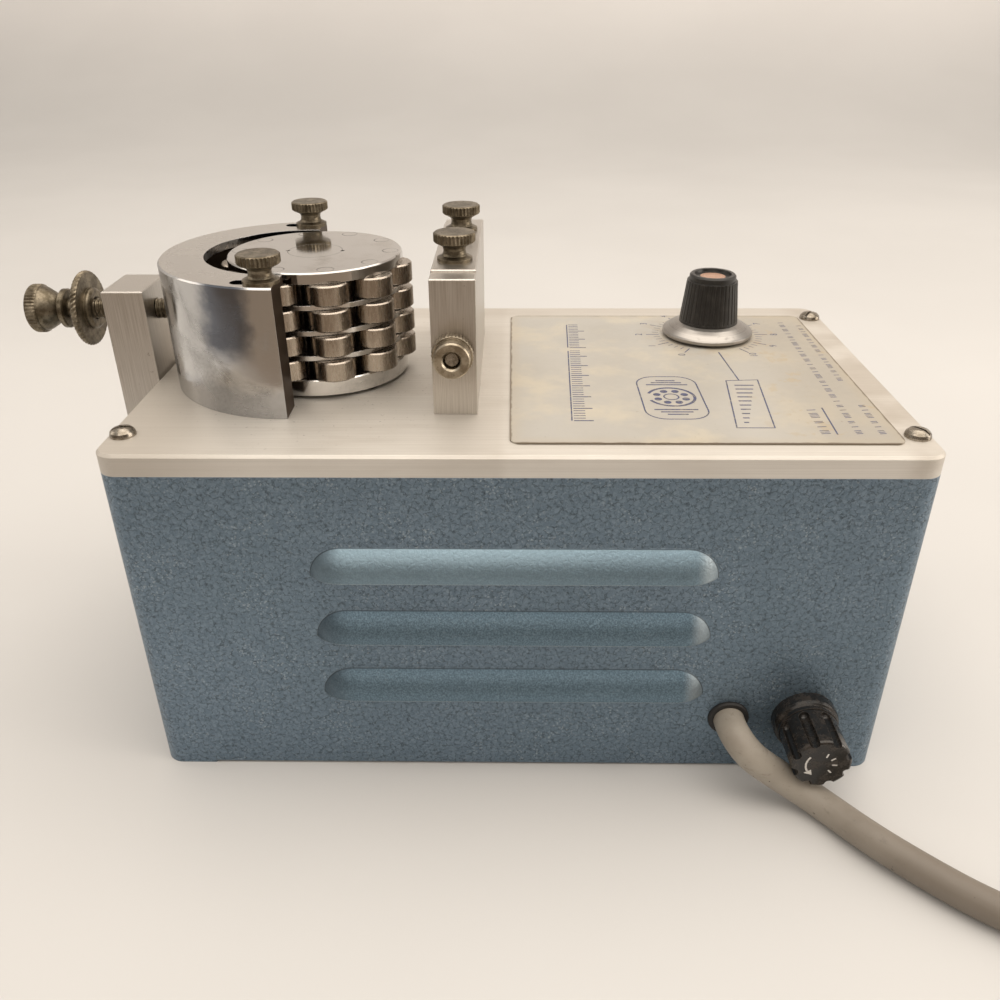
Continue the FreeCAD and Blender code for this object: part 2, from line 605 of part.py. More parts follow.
# ---- fuse holder and cord ------------------------------------------------------------------
def make_fuse_holder():
    # built standing on the panel with +Z pointing out of the front face
    flange = turned([(0, 0), (FUSE_FLANGE_R, 0), (FUSE_FLANGE_R, 3.4), (FUSE_FLANGE_R - 0.3, 4.2),
                     (FUSE_FLANGE_R - 0.9, 4.7), (9.0, FUSE_HOLDER_OUT), (0, FUSE_HOLDER_OUT)])
    barrel = cylinder(6.4, 42, (0, 0, -42))
    holder = joined([flange, barrel])
    holder = holder.cut(cylinder(4.6 + RUN, 20, (0, 0, -12.0)))
    holder = holder.cut(cylinder(3.4, 40, (0, 0, -36.0)))
    tail = block(-1.6, 1.6, -0.4, 0.4, -49, -42)
    return stood(joined([holder, tail]), (FUSE_X, FRONT_Y, FUSE_Z), V(0, -1, 0))


def make_fuse_nut():
    nut = hexagon(17.0, 0, 3.0).cut(cylinder(6.4 + FIT, 6, (0, 0, -1)))
    return stood(nut, (FUSE_X, FRONT_Y + SHEET, FUSE_Z), Y_AXIS)


def make_fuse_cap():
    """Moulded cap whose round-bottomed flutes run out through its end face."""
    face = FUSE_HOLDER_OUT + 0.1
    cap = turned([(0, face), (FUSE_CAP_R, face), (FUSE_CAP_R, FUSE_CAP_END - 0.8),
                  (FUSE_CAP_R - 0.3, FUSE_CAP_END - 0.25), (FUSE_CAP_R - 0.8, FUSE_CAP_END), (0, FUSE_CAP_END)])
    for i in range(FUSE_CAP_FLUTES):
        a = 2 * math.pi * (i + 0.5) / FUSE_CAP_FLUTES
        x, y = (FUSE_CAP_R - 0.2) * math.cos(a), (FUSE_CAP_R - 0.2) * math.sin(a)
        cap = cap.cut(cylinder(FUSE_CAP_FLUTE_R, FUSE_CAP_END, (x, y, FUSE_CAP_FLUTE_START)))
        cap = cap.cut(Part.makeSphere(FUSE_CAP_FLUTE_R, V(x, y, FUSE_CAP_FLUTE_START)))
    stem = cylinder(4.6, 19.0, (0, 0, -11.0))
    cap = joined([cap, stem])
    cap = cap.cut(cylinder(3.2 + RUN, 17.0, (0, 0, -12.0)))
    return stood(cap, (FUSE_X, FRONT_Y, FUSE_Z), V(0, -1, 0))


def make_fuse():
    fuse = turned([(0, 0), (3.2, 0), (3.2, 6), (3.0, 6), (3.0, 26), (3.2, 26), (3.2, 32), (0, 32)])
    return stood(fuse, (FUSE_X, FRONT_Y - 4.9, FUSE_Z), Y_AXIS)


def make_cord_grommet():
    ring = turned([(CORD_R + FIT, -2.2), (6.4, -2.2), (6.4, -1.2), (5.6, -1.2), (5.6, 0), (6.3, 0),
                   (6.3, 0.7), (5.9, 1.2), (CORD_R + FIT, 1.2)])
    return stood(ring, (CORD_X, FRONT_Y, CORD_Z), V(0, -1, 0))


def make_power_cord():
    """Straight through the grommet, then one curve down to the bench, below the fuse's way out."""
    inner = V(CORD_X, FRONT_Y + CORD_INSIDE, CORD_Z)
    outlet = V(CORD_X, FRONT_Y - 1.4, CORD_Z)
    curve = Part.BSplineCurve()
    curve.interpolate(Points=[outlet] + [V(*p) for p in CORD_PATH], Scale=False, InitialTangent=V(0, -1, 0),
                      FinalTangent=V(0.87, -0.49, 0))
    spine = Part.Wire([Part.makeLine(inner, outlet), curve.toShape()])
    ring = Part.Wire([Part.Circle(inner, V(0, -1, 0), CORD_R).toShape()])
    return spine.makePipeShell([ring], True, False)


nodes = {
    "housing": make_housing(),
    "deck_plate": make_deck(),
    "deck_screws": make_deck_screws(),
    "bottom_cover": make_bottom_cover(),
    "cover_screws": make_cover_screws(),
    "name_plate": make_name_plate(),
    "knob_body": make_knob_body(),
    "knob_skirt": make_knob_skirt(),
    "knob_insert": make_knob_insert(),
    "knob_spindle": make_knob_spindle(),
    "potentiometer": make_potentiometer(),
    "potentiometer_nut": make_pot_nut(),
    "rotor_top_disc": make_rotor_top_disc(),
    "rotor_base_disc": make_rotor_base_disc(),
    "rotor_spacer_discs": make_rotor_spacer_discs(),
    "rotor_sleeves": make_rotor_sleeves(),
    "rotor_hub": make_rotor_hub(),
    "roller_pins": make_roller_pins(),
    "shaft_bush": make_shaft_bush(),
    "gearbox": make_gearbox(),
    "gearbox_screws": make_gearbox_screws(),
    "motor": make_motor(),
    "pressure_shoe": make_pressure_shoe(),
    "shoe_screw_front": make_shoe_screw(-1),
    "shoe_screw_rear": make_shoe_screw(1),
    "adjuster_bracket": make_bracket(),
    "bracket_screws": make_bracket_screws(),
    "bracket_nut": make_bracket_nut(),
    "adjusting_screw": make_adjusting_screw(),
    "lock_nut": make_lock_nut(),
    "clamp_block": make_clamp_block(),
    "clamp_studs": make_clamp_studs(),
    "front_jaw": make_jaw(-1),
    "rear_jaw": make_jaw(1),
    "front_clamp_nut": make_clamp_nut(-1),
    "rear_clamp_nut": make_clamp_nut(1),
    "clamp_screw_front": make_clamp_screw(-1),
    "clamp_screw_rear": make_clamp_screw(1),
    "fuse_holder": make_fuse_holder(),
    "fuse_holder_nut": make_fuse_nut(),
    "fuse_cap": make_fuse_cap(),
    "fuse": make_fuse(),
    "cord_grommet": make_cord_grommet(),
    "power_cord": make_power_cord(),
}
for index in range(ROLLER_COUNT):
    nodes["roller_set_%02d" % (index + 1)] = make_roller_set(index)

os.makedirs("parts", exist_ok=True)
for name, shape in nodes.items():
    shape.exportStep("parts/%s.step" % name)
    print(name, "solids", len(shape.Solids), "valid", shape.isValid(), "volume", round(shape.Volume, 1))
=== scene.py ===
import math

import bmesh
import bpy
from mathutils import Matrix, Vector


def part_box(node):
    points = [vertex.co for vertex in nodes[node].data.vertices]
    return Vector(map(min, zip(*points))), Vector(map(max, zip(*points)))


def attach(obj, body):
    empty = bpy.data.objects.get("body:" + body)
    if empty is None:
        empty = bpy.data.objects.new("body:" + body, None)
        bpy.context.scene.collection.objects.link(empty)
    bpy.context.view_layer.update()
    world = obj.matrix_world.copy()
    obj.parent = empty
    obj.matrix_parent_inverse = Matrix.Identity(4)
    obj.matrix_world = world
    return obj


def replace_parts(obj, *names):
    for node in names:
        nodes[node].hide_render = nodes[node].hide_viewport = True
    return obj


# Peristaltic pump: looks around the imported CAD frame. Metres, +Z up, the louvred face towards -Y.
# Lengths inside the piece and material functions are written in millimetres and scaled by MM.

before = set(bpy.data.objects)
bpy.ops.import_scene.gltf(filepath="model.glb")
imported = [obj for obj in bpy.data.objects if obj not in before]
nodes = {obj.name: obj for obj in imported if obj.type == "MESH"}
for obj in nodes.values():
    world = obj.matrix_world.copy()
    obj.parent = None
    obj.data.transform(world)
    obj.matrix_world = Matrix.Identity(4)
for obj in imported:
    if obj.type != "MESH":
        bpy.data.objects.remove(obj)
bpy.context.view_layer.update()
MM = 0.001


def box_mm(node):
    """Lowest and highest corner of a CAD node in millimetres."""
    lo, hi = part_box(node)
    return lo / MM, hi / MM


def middle_mm(node):
    lo, hi = box_mm(node)
    return (lo + hi) / 2


PLATE_LO, PLATE_HI = box_mm("name_plate")
KNOB = middle_mm("knob_skirt")
ROTOR = middle_mm("rotor_top_disc")
SHOE_LO, SHOE_HI = box_mm("pressure_shoe")
CAP_LO, CAP_HI = box_mm("fuse_cap")
SHOE_R = (SHOE_HI.y - SHOE_LO.y) / 2
SHOE_WALL = 9.0
SHOE_LIP = 2.5
# Sideways places, in mm to the left of the shoe's axis, of a painted dark reflection and a painted glint on
# the shoe.
SHOE_DARK_REFLECTION_X = 13.5
SHOE_GLINT_X = 31.0
HOOD_RISE = 4.5
HOOD_LIP_Z = 73.1
HOOD_LEFT, HOOD_RIGHT = -59.3, 57.1
CASE_FRONT = box_mm("housing")[0].y + HOOD_RISE
PIN_CIRCLE_R = 23.1
PIN_R = 2.38
PIN_COUNT = 10
HUB_R = 8.25


# ---- node trees ----------------------------------------------------------------------------
class Tree:
    """Short calls for a node tree: each returns the socket to plug in next."""

    def __init__(self, tree):
        self.tree = tree
        tree.nodes.clear()

    def add(self, kind, out=0, settings=None, **inputs):
        node = self.tree.nodes.new("ShaderNode" + kind)
        for key, value in (settings or {}).items():
            setattr(node, key, value)
        for key, value in inputs.items():
            name = key.replace("_", " ")
            self.plug(node.inputs[int(key[1:])] if key[1:].isdigit() else node.inputs[name], value)
        return node.outputs[out]

    def plug(self, socket, value):
        if isinstance(value, bpy.types.NodeSocket):
            self.tree.links.new(value, socket)
        elif socket.type == "RGBA":
            socket.default_value = (*value[:3], 1.0)
        else:
            socket.default_value = value

    def math(self, operation, a, b=0.0, c=0.0):
        return self.add("Math", settings={"operation": operation}, i0=a, i1=b, i2=c)

    def vector(self, operation, a, b):
        return self.add("VectorMath", settings={"operation": operation}, i0=a, i1=b)

    def mix(self, factor, a, b, blend="MIX"):
        settings = {"data_type": "RGBA", "blend_type": blend}
        return self.add("Mix", 2, settings, i0=factor, i6=a, i7=b)

    def step(self, value, low, high, to_low=0.0, to_high=1.0):
        """Smooth ramp of value from low..high to to_low..to_high."""
        settings = {"interpolation_type": "SMOOTHSTEP"}
        return self.add("MapRange", 0, settings, i0=value, i1=low, i2=high, i3=to_low, i4=to_high)

    def mm(self):
        """Object coordinates in millimetres of the row frame."""
        place = self.add("TexCoord", "Object")
        return self.add("VectorMath", settings={"operation": "SCALE"}, i0=place, Scale=1 / MM)

    def stretched(self, x, y, z):
        return self.vector("MULTIPLY", self.mm(), (x, y, z))

    def noise(self, scale, detail=3.0, rough=0.55, at=None, distortion=0.0):
        return self.add("TexNoise", "Fac", Vector=at or self.mm(), Scale=scale, Detail=detail,
                        Roughness=rough, Distortion=distortion)

    def bump(self, height, strength, distance, normal=None):
        inputs = {"Strength": strength, "Distance": distance * MM, "Height": height}
        if normal is not None:
            inputs["Normal"] = normal
        return self.add("Bump", **inputs)

    def soft_edges(self, radius):
        """Normal that rounds sharp edges over radius millimetres."""
        return self.add("Bevel", settings={"samples": 4}, Radius=radius * MM)

    def edge_mask(self, radius, low=0.02, high=0.25):
        """1 along sharp edges, 0 on flat faces."""
        flat = self.add("NewGeometry", "Normal")
        alike = self.add("VectorMath", "Value", {"operation": "DOT_PRODUCT"}, i0=flat,
                         i1=self.soft_edges(radius))
        return self.step(alike, 1.0 - high, 1.0 - low, 1.0, 0.0)

    def around(self, centre, axis="Z"):
        """Distance from an upright or a front-to-back axis, in millimetres."""
        squash = {"Z": (1, 1, 0), "Y": (1, 0, 1), "X": (0, 1, 1)}[axis]
        from_axis = self.vector("MULTIPLY", self.vector("SUBTRACT", self.mm(), tuple(centre)), squash)
        return self.add("VectorMath", "Value", {"operation": "LENGTH"}, i0=from_axis)

    def xyz(self, vector):
        """X, Y and Z sockets of a vector."""
        split = self.tree.nodes.new("ShaderNodeSeparateXYZ")
        self.plug(split.inputs[0], vector)
        return split.outputs

    def finish(self, **inputs):
        shader = self.add("BsdfPrincipled", **inputs)
        out = self.tree.nodes.new("ShaderNodeOutputMaterial")
        self.tree.links.new(shader, out.inputs[0])


def new_material(name):
    material = bpy.data.materials.new(name)
    material.use_nodes = True
    return material, Tree(material.node_tree)


def hammertone():
    """Blue-grey hammered enamel: raised cells, dark broken veins, light flakes, worn edges and a painted
    highlight along sharp edges; the louvre hoods are bluer and finer, with painted shade in the crease above,
    a painted highlight along the lip below, a painted sheen on the top hood, a painted highlight on the
    right-hand end and painted shade on the left-hand end."""
    material, t = new_material("hammertone_enamel")
    warp = t.add("TexNoise", "Color", Vector=t.mm(), Scale=0.9, Detail=3.0)
    away = t.vector("MULTIPLY", t.vector("SUBTRACT", warp, (0.5, 0.5, 0.5)), (2.0, 2.0, 2.0))
    place = t.vector("ADD", t.mm(), away)
    rim = t.add("TexVoronoi", "Distance", {"feature": "DISTANCE_TO_EDGE"}, Vector=place, Scale=0.5)
    small_rim = t.add("TexVoronoi", "Distance", {"feature": "DISTANCE_TO_EDGE"}, Vector=place, Scale=1.1)
    broken = t.step(t.noise(0.8, 2.0), 0.38, 0.60, 0.15, 1.0)
    vein = t.math("MULTIPLY", t.step(rim, 0.0, 0.11, 1.0, 0.0), broken)
    fine_vein = t.math("MULTIPLY", t.step(small_rim, 0.0, 0.10, 0.5, 0.0), broken)
    x, y, z = t.xyz(t.mm())
    out = t.math("SUBTRACT", CASE_FRONT, y)
    hood = t.step(out, 0.02, 0.45)
    dark = t.math("MULTIPLY", t.math("MAXIMUM", vein, fine_vein), t.step(hood, 0.0, 1.0, 1.0, 0.45))
    cell = t.add("TexVoronoi", "Color", Vector=place, Scale=1.1)
    tone = t.add("SeparateColor", 0, i0=cell)
    base = t.mix(tone, (0.145, 0.205, 0.268), (0.200, 0.272, 0.345))
    base = t.mix(t.step(t.noise(0.012, 2.0), 0.35, 0.7, 0.0, 0.35), base, (0.150, 0.215, 0.270))
    base = t.mix(t.math("MULTIPLY", dark, 0.72), base, (0.040, 0.055, 0.068))
    flakes = t.add("TexVoronoi", "Color", Vector=t.mm(), Scale=2.4)
    flake = t.step(t.add("SeparateColor", 0, i0=flakes), 0.90, 0.95)
    flake = t.math("MULTIPLY", flake, t.step(t.noise(0.06, 3.0), 0.42, 0.66, 0.1, 1.0))
    base = t.mix(t.math("MULTIPLY", flake, 0.35), base, (0.55, 0.62, 0.66))
    blue = t.mix(t.step(t.noise(2.2, 4.0, 0.75), 0.40, 0.60), (0.070, 0.118, 0.160), (0.160, 0.250, 0.315))
    # painted sheen: the upper face of the top hood is lightened as if lit from above
    top_hood_sheen = t.math("MULTIPLY", t.step(z, HOOD_LIP_Z - 6.0, HOOD_LIP_Z), t.step(x, -20.0, 45.0, 1.0, 0.65))
    blue = t.mix(t.math("MULTIPLY", top_hood_sheen, t.step(out, 1.5, 4.3, 0.9, 0.4)), blue, (0.36, 0.50, 0.59))
    # painted highlight on the right-hand end of each hood, as if lit from the right
    blue = t.mix(t.step(x, HOOD_RIGHT - 7.5, HOOD_RIGHT - 3.0, 0.0, 0.5), blue, (0.56, 0.61, 0.63))
    # painted shade on the left-hand end of each hood, which faces away from the light
    blue = t.mix(t.step(x, HOOD_LEFT, HOOD_LEFT + 13.0, 0.75, 0.0), blue, (0.045, 0.065, 0.085))
    base = t.mix(t.math("MULTIPLY", hood, 0.75), base, blue)
    # painted shade: a dark line in the crease where each hood leaves the flat wall
    crease = t.step(t.math("ABSOLUTE", t.math("SUBTRACT", out, 0.22)), 0.05, 0.22, 0.7, 0.0)
    base = t.mix(crease, base, (0.035, 0.045, 0.055))
    edge = t.edge_mask(0.5)
    # painted highlight: a light line along the lower lip of each hood
    lip = t.math("MULTIPLY", t.math("MULTIPLY", edge, hood), t.step(out, 3.5, 4.2))
    base = t.mix(t.math("MULTIPLY", lip, 0.7), base, (0.62, 0.68, 0.72))
    # painted highlight: every sharp edge is lightened evenly; the noisy wear on the next lines is real
    base = t.mix(t.math("MULTIPLY", edge, 0.3), base, (0.42, 0.47, 0.50))
    wear = t.math("MULTIPLY", edge, t.step(t.noise(0.5, 4.0, 0.7), 0.60, 0.66))
    base = t.mix(t.math("MULTIPLY", wear, 0.85), base, (0.60, 0.60, 0.58))
    height = t.math("SUBTRACT", t.step(rim, 0.0, 0.30), t.math("MULTIPLY", dark, 0.4))
    grain = t.math("ADD", height, t.math("MULTIPLY", tone, 0.5))
    rounded = t.bump(grain, 0.5, 0.09, t.soft_edges(0.5))
    rough = t.math("ADD", t.math("MULTIPLY", t.noise(1.4), 0.2), 0.34)
    t.finish(Base_Color=base, Metallic=0.72, Roughness=rough, Normal=rounded,
             Coat_Weight=0.12, Coat_Roughness=0.2)
    return material


def brushed(name, light, dark, streak, roughness, stain=0.0, edge=0.5, metallic=1.0, depth=0.01):
    """Machined metal with fine streaks; streak is the coordinate scale, small along the grain; edge sets the
    strength of a painted highlight along sharp edges.
    """
    material, t = new_material(name)
    lines = t.noise(1.0, 4.0, 0.65, t.stretched(*streak))
    broad = t.noise(0.03, 3.0)
    base = t.mix(t.step(lines, 0.3, 0.7), dark, light)
    base = t.mix(t.step(broad, 0.35, 0.75, 0.0, 0.22), base, dark)
    spots = t.step(t.noise(0.55, 5.0, 0.65), 0.66, 0.74, 0.0, stain)
    base = t.mix(spots, base, (0.16, 0.12, 0.08))
    # painted highlight: sharp edges lightened
    base = t.mix(t.math("MULTIPLY", t.edge_mask(0.35), edge), base, (0.92, 0.90, 0.86))
    rough = t.math("ADD", t.math("MULTIPLY", t.step(lines, 0.2, 0.8), 0.14), roughness)
    normal = t.bump(lines, 0.25, depth, t.soft_edges(0.25))
    t.finish(Base_Color=base, Metallic=metallic, Roughness=rough, Normal=normal)
    return material


def deck_metal():
    """Deck plate: grain along X, faint grey handling marks and dark specks beside the pump head, a painted
    highlight on its edges and side faces, painted shade on its left part and beside the clamp block,
    and darker towards the back and in a blotchy band along the right-hand edge.
    """
    material, t = new_material("brushed_deck")
    lines = t.noise(1.0, 4.0, 0.7, t.stretched(0.012, 5.0, 5.0))
    base = t.mix(t.step(lines, 0.3, 0.7), (0.64, 0.61, 0.56), (0.75, 0.72, 0.67))
    near_head = t.step(t.around(ROTOR), 38.0, 78.0, 1.0, 0.0)
    specks = t.math("MULTIPLY", t.step(t.noise(0.8, 5.0, 0.7), 0.63, 0.70), near_head)
    smear = t.math("MULTIPLY", t.step(t.noise(0.06, 4.0, 0.6, t.stretched(0.3, 1.0, 1.0)), 0.48, 0.75), 0.35)
    base = t.mix(smear, base, (0.47, 0.42, 0.36))
    base = t.mix(t.math("MULTIPLY", specks, 0.75), base, (0.10, 0.08, 0.06))
    # painted highlight: sharp edges lightened
    base = t.mix(t.math("MULTIPLY", t.edge_mask(0.4), 0.4), base, (0.90, 0.88, 0.85))
    # painted light: faces that do not point up, such as the plate's sides, are lightened
    facing_up = t.xyz(t.add("NewGeometry", "Normal"))[2]
    base = t.mix(t.step(facing_up, 0.3, 0.9, 0.18, 0.0), base, (0.93, 0.90, 0.86))
    x, y, _ = t.xyz(t.mm())
    # painted shade: the left part of the deck, away from the light, is darkened
    base = t.mix(t.step(x, -104.0, -66.0, 0.5, 0.0), base, (0.42, 0.375, 0.32))
    right_band = t.math("MULTIPLY", t.step(x, 99.0, 107.0), t.step(t.noise(0.05, 3.0), 0.35, 0.65, 0.15, 0.5))
    base = t.mix(right_band, base, (0.40, 0.345, 0.28))
    base = t.mix(t.step(y, 45.0, 60.0, 0.0, 0.35), base, (0.42, 0.375, 0.32))
    # painted shade on the deck between the pump head and the clamp block
    between = t.math("MULTIPLY", t.step(x, -32.0, -16.0), t.step(x, -6.0, -2.0, 1.0, 0.0))
    base = t.mix(t.math("MULTIPLY", between, 0.22), base, (0.42, 0.375, 0.32))
    rough = t.math("ADD", t.math("MULTIPLY", lines, 0.12), 0.46)
    normal = t.bump(lines, 0.3, 0.012, t.soft_edges(0.25))
    t.finish(Base_Color=base, Metallic=0.55, Roughness=rough, Normal=normal)
    return material


def chrome(name, base_rough, haze, tint=(0.76, 0.745, 0.725)):
    """Polished plate with hazy wiped patches, hair scratches and a few pits."""
    material, t = new_material(name)
    base, rough, hair = plated(t, base_rough, haze, tint)
    t.finish(Base_Color=base, Metallic=1.0, Roughness=rough,
             Normal=t.bump(hair, 0.12, 0.006, t.soft_edges(0.25)))
    return material


def plated(t, base_rough, haze, tint):
    """Colour, roughness and scratch height of worn chrome plate."""
    patch = t.step(t.noise(0.05, 4.0, 0.6, distortion=0.6), 0.42, 0.66)
    hair = t.step(t.noise(1.0, 2.0, 0.5, t.stretched(0.35, 0.35, 6.0)), 0.62, 0.72)
    mottle = t.step(t.noise(0.9, 4.0, 0.7), 0.35, 0.75)
    dull = t.math("ADD", t.math("MULTIPLY", patch, haze), t.math("MULTIPLY", hair, 0.08))
    pits = t.step(t.noise(1.3, 4.0, 0.7), 0.68, 0.76)
    cloud = t.math("MULTIPLY", patch, t.math("ADD", t.math("MULTIPLY", mottle, 0.6), 0.2))
    base = t.mix(cloud, tint, tuple(c * 0.62 for c in tint))
    base = t.mix(t.math("MULTIPLY", pits, 0.5), base, (0.20, 0.16, 0.12))
    return base, t.math("ADD", dull, base_rough), hair


def shoe_chrome():
    """Chrome outside and on top, with a painted dark reflection, a painted bluish band and a painted glint on
    the outside; the sawn end faces towards the rotor and the bore below the lip are painted dark brown
    and rough for their shade and the rollers they reflect.
    """
    material, t = new_material("shoe_chrome")
    base, rough, hair = plated(t, 0.11, 0.26, (0.56, 0.555, 0.55))
    facing_right, _, facing_up = t.xyz(t.add("NewGeometry", "Normal"))
    x, _, z = t.xyz(t.mm())
    wobble = t.math("MULTIPLY", t.math("SUBTRACT", t.noise(0.12, 4.0, 0.6), 0.5), 9.0)
    side = t.math("ADD", t.math("SUBTRACT", x, SHOE_LO.x + SHOE_R), wobble)
    level = t.math("ADD", t.math("SUBTRACT", z, SHOE_LO.z), wobble)
    # painted reflection: a dark bluish patch on the outside of the shoe
    from_patch = t.math("ABSOLUTE", t.math("ADD", side, SHOE_DARK_REFLECTION_X))
    dark_reflection = t.math("MULTIPLY", t.step(from_patch, 3.5, 9.5, 1.0, 0.0), t.step(level, 14.0, 22.0))
    base = t.mix(t.math("MULTIPLY", dark_reflection, 0.85), base, (0.11, 0.125, 0.16))
    # painted reflection: a bluish-grey band low on the outside of the shoe
    base = t.mix(t.step(level, 6.5, 10.0, 0.45, 0.0), base, (0.29, 0.30, 0.325))
    glint = t.step(t.math("ABSOLUTE", t.math("ADD", side, SHOE_GLINT_X)), 1.5, 5.0, 0.15, 0.0)
    base = t.mix(glint, base, (0.86, 0.85, 0.83))
    # painted shade and painted reflection: the end faces towards the rotor and the bore below the lip are
    # dark brown
    at_cut = t.step(x, SHOE_HI.x - 0.12, SHOE_HI.x - 0.02)
    painted_shade_faces = t.math("MULTIPLY", at_cut, t.step(facing_right, 0.9, 0.99))
    to_axis = t.around((SHOE_LO.x + SHOE_R, 0, 0))
    bore = t.step(to_axis, SHOE_R - SHOE_WALL - 0.2, SHOE_R - SHOE_WALL + 0.2, 1.0, 0.0)
    below_lip = t.step(z, SHOE_HI.z - SHOE_LIP - 0.1, SHOE_HI.z - SHOE_LIP + 0.1, 1.0, 0.0)
    painted_shade_faces = t.math("MAXIMUM", painted_shade_faces, t.math("MULTIPLY", bore, below_lip))
    base = t.mix(painted_shade_faces, base, (0.085, 0.062, 0.045))
    rough = t.math("MAXIMUM", rough, t.math("MULTIPLY", painted_shade_faces, 0.55))
    flat_top = t.step(facing_up, 0.9, 0.99)
    base = t.mix(flat_top, base, (0.60, 0.58, 0.55))
    rough = t.math("MAXIMUM", rough, t.math("MULTIPLY", flat_top, 0.26))
    t.finish(Base_Color=base, Metallic=1.0, Roughness=rough,
             Normal=t.bump(hair, 0.12, 0.006, t.soft_edges(0.25)))
    return material


def rotor_face():
    """Mirror-polished rotor disc with the dark outlines of the pin ends and of the hub."""
    material, t = new_material("rotor_face_chrome")
    flat = t.vector("SUBTRACT", t.mm(), tuple(ROTOR))
    x, y, _ = t.xyz(flat)
    angle = t.math("ARCTAN2", y, x)
    sector = 2 * math.pi / PIN_COUNT
    turn = t.math("ROUND", t.math("DIVIDE", angle, sector))
    local = t.math("SUBTRACT", angle, t.math("MULTIPLY", turn, sector))
    radius = t.around(ROTOR)
    across = t.math("SUBTRACT", t.math("MULTIPLY", radius, t.math("COSINE", local)), PIN_CIRCLE_R)
    along = t.math("MULTIPLY", radius, t.math("SINE", local))
    to_pin = t.math("SQRT", t.math("ADD", t.math("MULTIPLY", across, across),
                                   t.math("MULTIPLY", along, along)))
    off_pin = t.math("ABSOLUTE", t.math("SUBTRACT", to_pin, PIN_R))
    inner_half = t.step(across, -1.6, 0.6, 1.0, 0.25)
    pin_line = t.math("MULTIPLY", t.step(off_pin, 0.05, 0.34, 1.0, 0.0), inner_half)
    hub_line = t.step(t.math("ABSOLUTE", t.math("SUBTRACT", radius, HUB_R)), 0.04, 0.22, 0.6, 0.0)
    line = t.math("MAXIMUM", pin_line, hub_line)
    rings = t.noise(1.0, 3.0, 0.6, t.add("CombineXYZ", 0, i0=t.math("MULTIPLY", radius, 2.5)))
    patch = t.step(t.noise(0.09, 4.0, 0.6), 0.45, 0.75)
    base = t.mix(t.math("MULTIPLY", patch, 0.35), (0.57, 0.555, 0.535), (0.44, 0.40, 0.35))
    base = t.mix(t.math("MULTIPLY", line, 0.85), base, (0.07, 0.055, 0.045))
    rough = t.math("ADD", t.math("MULTIPLY", patch, 0.14), 0.09)
    t.finish(Base_Color=base, Metallic=1.0, Roughness=rough,
             Normal=t.bump(rings, 0.06, 0.01, t.soft_edges(0.25)))
    return material


def tarnished(name, light, dark, roughness=0.34):
    """Old nickel plating, olive-brown in the dirt, brighter where fingers rub it, painted highlight on sharp
    edges.
    """
    material, t = new_material(name)
    patch = t.step(t.noise(0.33, 5.0, 0.65), 0.36, 0.66)
    base = t.mix(patch, dark, light)
    grime = t.step(t.noise(1.6, 3.0, 0.6), 0.55, 0.75, 0.0, 0.6)
    base = t.mix(grime, base, tuple(c * 0.35 for c in dark))
    # painted highlight: sharp edges lightened
    base = t.mix(t.math("MULTIPLY", t.edge_mask(0.22), 0.55), base, tuple(min(1, c * 1.5) for c in light))
    rough = t.math("ADD", t.math("MULTIPLY", grime, 0.3), roughness)
    t.finish(Base_Color=base, Metallic=0.95, Roughness=rough,
             Normal=t.bump(t.noise(2.2), 0.25, 0.02, t.soft_edges(0.12)))
    return material


def plate_paint():
    """Cream painted name plate: yellowed towards the rim, brown drips and dirt along its edge."""
    material, t = new_material("name_plate_paint")
    x, y, _ = t.xyz(t.mm())
    to_side = t.math("MINIMUM", t.math("SUBTRACT", x, PLATE_LO.x), t.math("SUBTRACT", PLATE_HI.x, x))
    to_end = t.math("MINIMUM", t.math("SUBTRACT", y, PLATE_LO.y), t.math("SUBTRACT", PLATE_HI.y, y))
    to_rim = t.math("ADD", t.math("MINIMUM", to_side, to_end),
                    t.math("MULTIPLY", t.math("SUBTRACT", t.noise(0.25), 0.5), 1.2))
    base = t.mix(t.step(t.noise(0.02, 3.0), 0.3, 0.7), (0.455, 0.44, 0.405), (0.415, 0.395, 0.355))
    yellow = t.math("MULTIPLY", t.step(t.noise(0.045, 4.0, 0.6), 0.45, 0.7), 0.55)
    base = t.mix(yellow, base, (0.58, 0.52, 0.40))
    right_half = t.step(x, 55.0, 90.0)
    base = t.mix(t.step(x, 62.0, 98.0, 0.0, 0.6), base, (0.345, 0.31, 0.255))
    drip = t.math("MULTIPLY", t.step(t.noise(0.13, 5.0, 0.65), 0.57, 0.64), right_half)
    base = t.mix(t.math("MULTIPLY", drip, 0.5), base, (0.42, 0.33, 0.20))
    speck = t.step(t.noise(0.75, 3.0, 0.6), 0.71, 0.75)
    base = t.mix(t.math("MULTIPLY", speck, 0.5), base, (0.24, 0.18, 0.13))
    # darker brown blotches in a ring about the knob
    knob_ring_dark = t.math("MULTIPLY", t.step(t.around(KNOB), 16.0, 27.0, 1.0, 0.0),
                       t.step(t.noise(0.3, 4.0, 0.6), 0.35, 0.65))
    base = t.mix(t.math("MULTIPLY", knob_ring_dark, 0.55), base, (0.42, 0.35, 0.26))
    base = t.mix(t.step(to_rim, 0.15, 0.75, 0.9, 0.0), base, (0.075, 0.055, 0.04))
    base = t.mix(t.step(to_rim, 0.5, 5.0, 0.22, 0.0), base, (0.45, 0.37, 0.25))
    rough = t.math("ADD", t.math("MULTIPLY", t.noise(0.5), 0.2), 0.36)
    t.finish(Base_Color=base, Roughness=rough, Normal=t.bump(t.noise(3.0, 2.0), 0.12, 0.02))
    return material


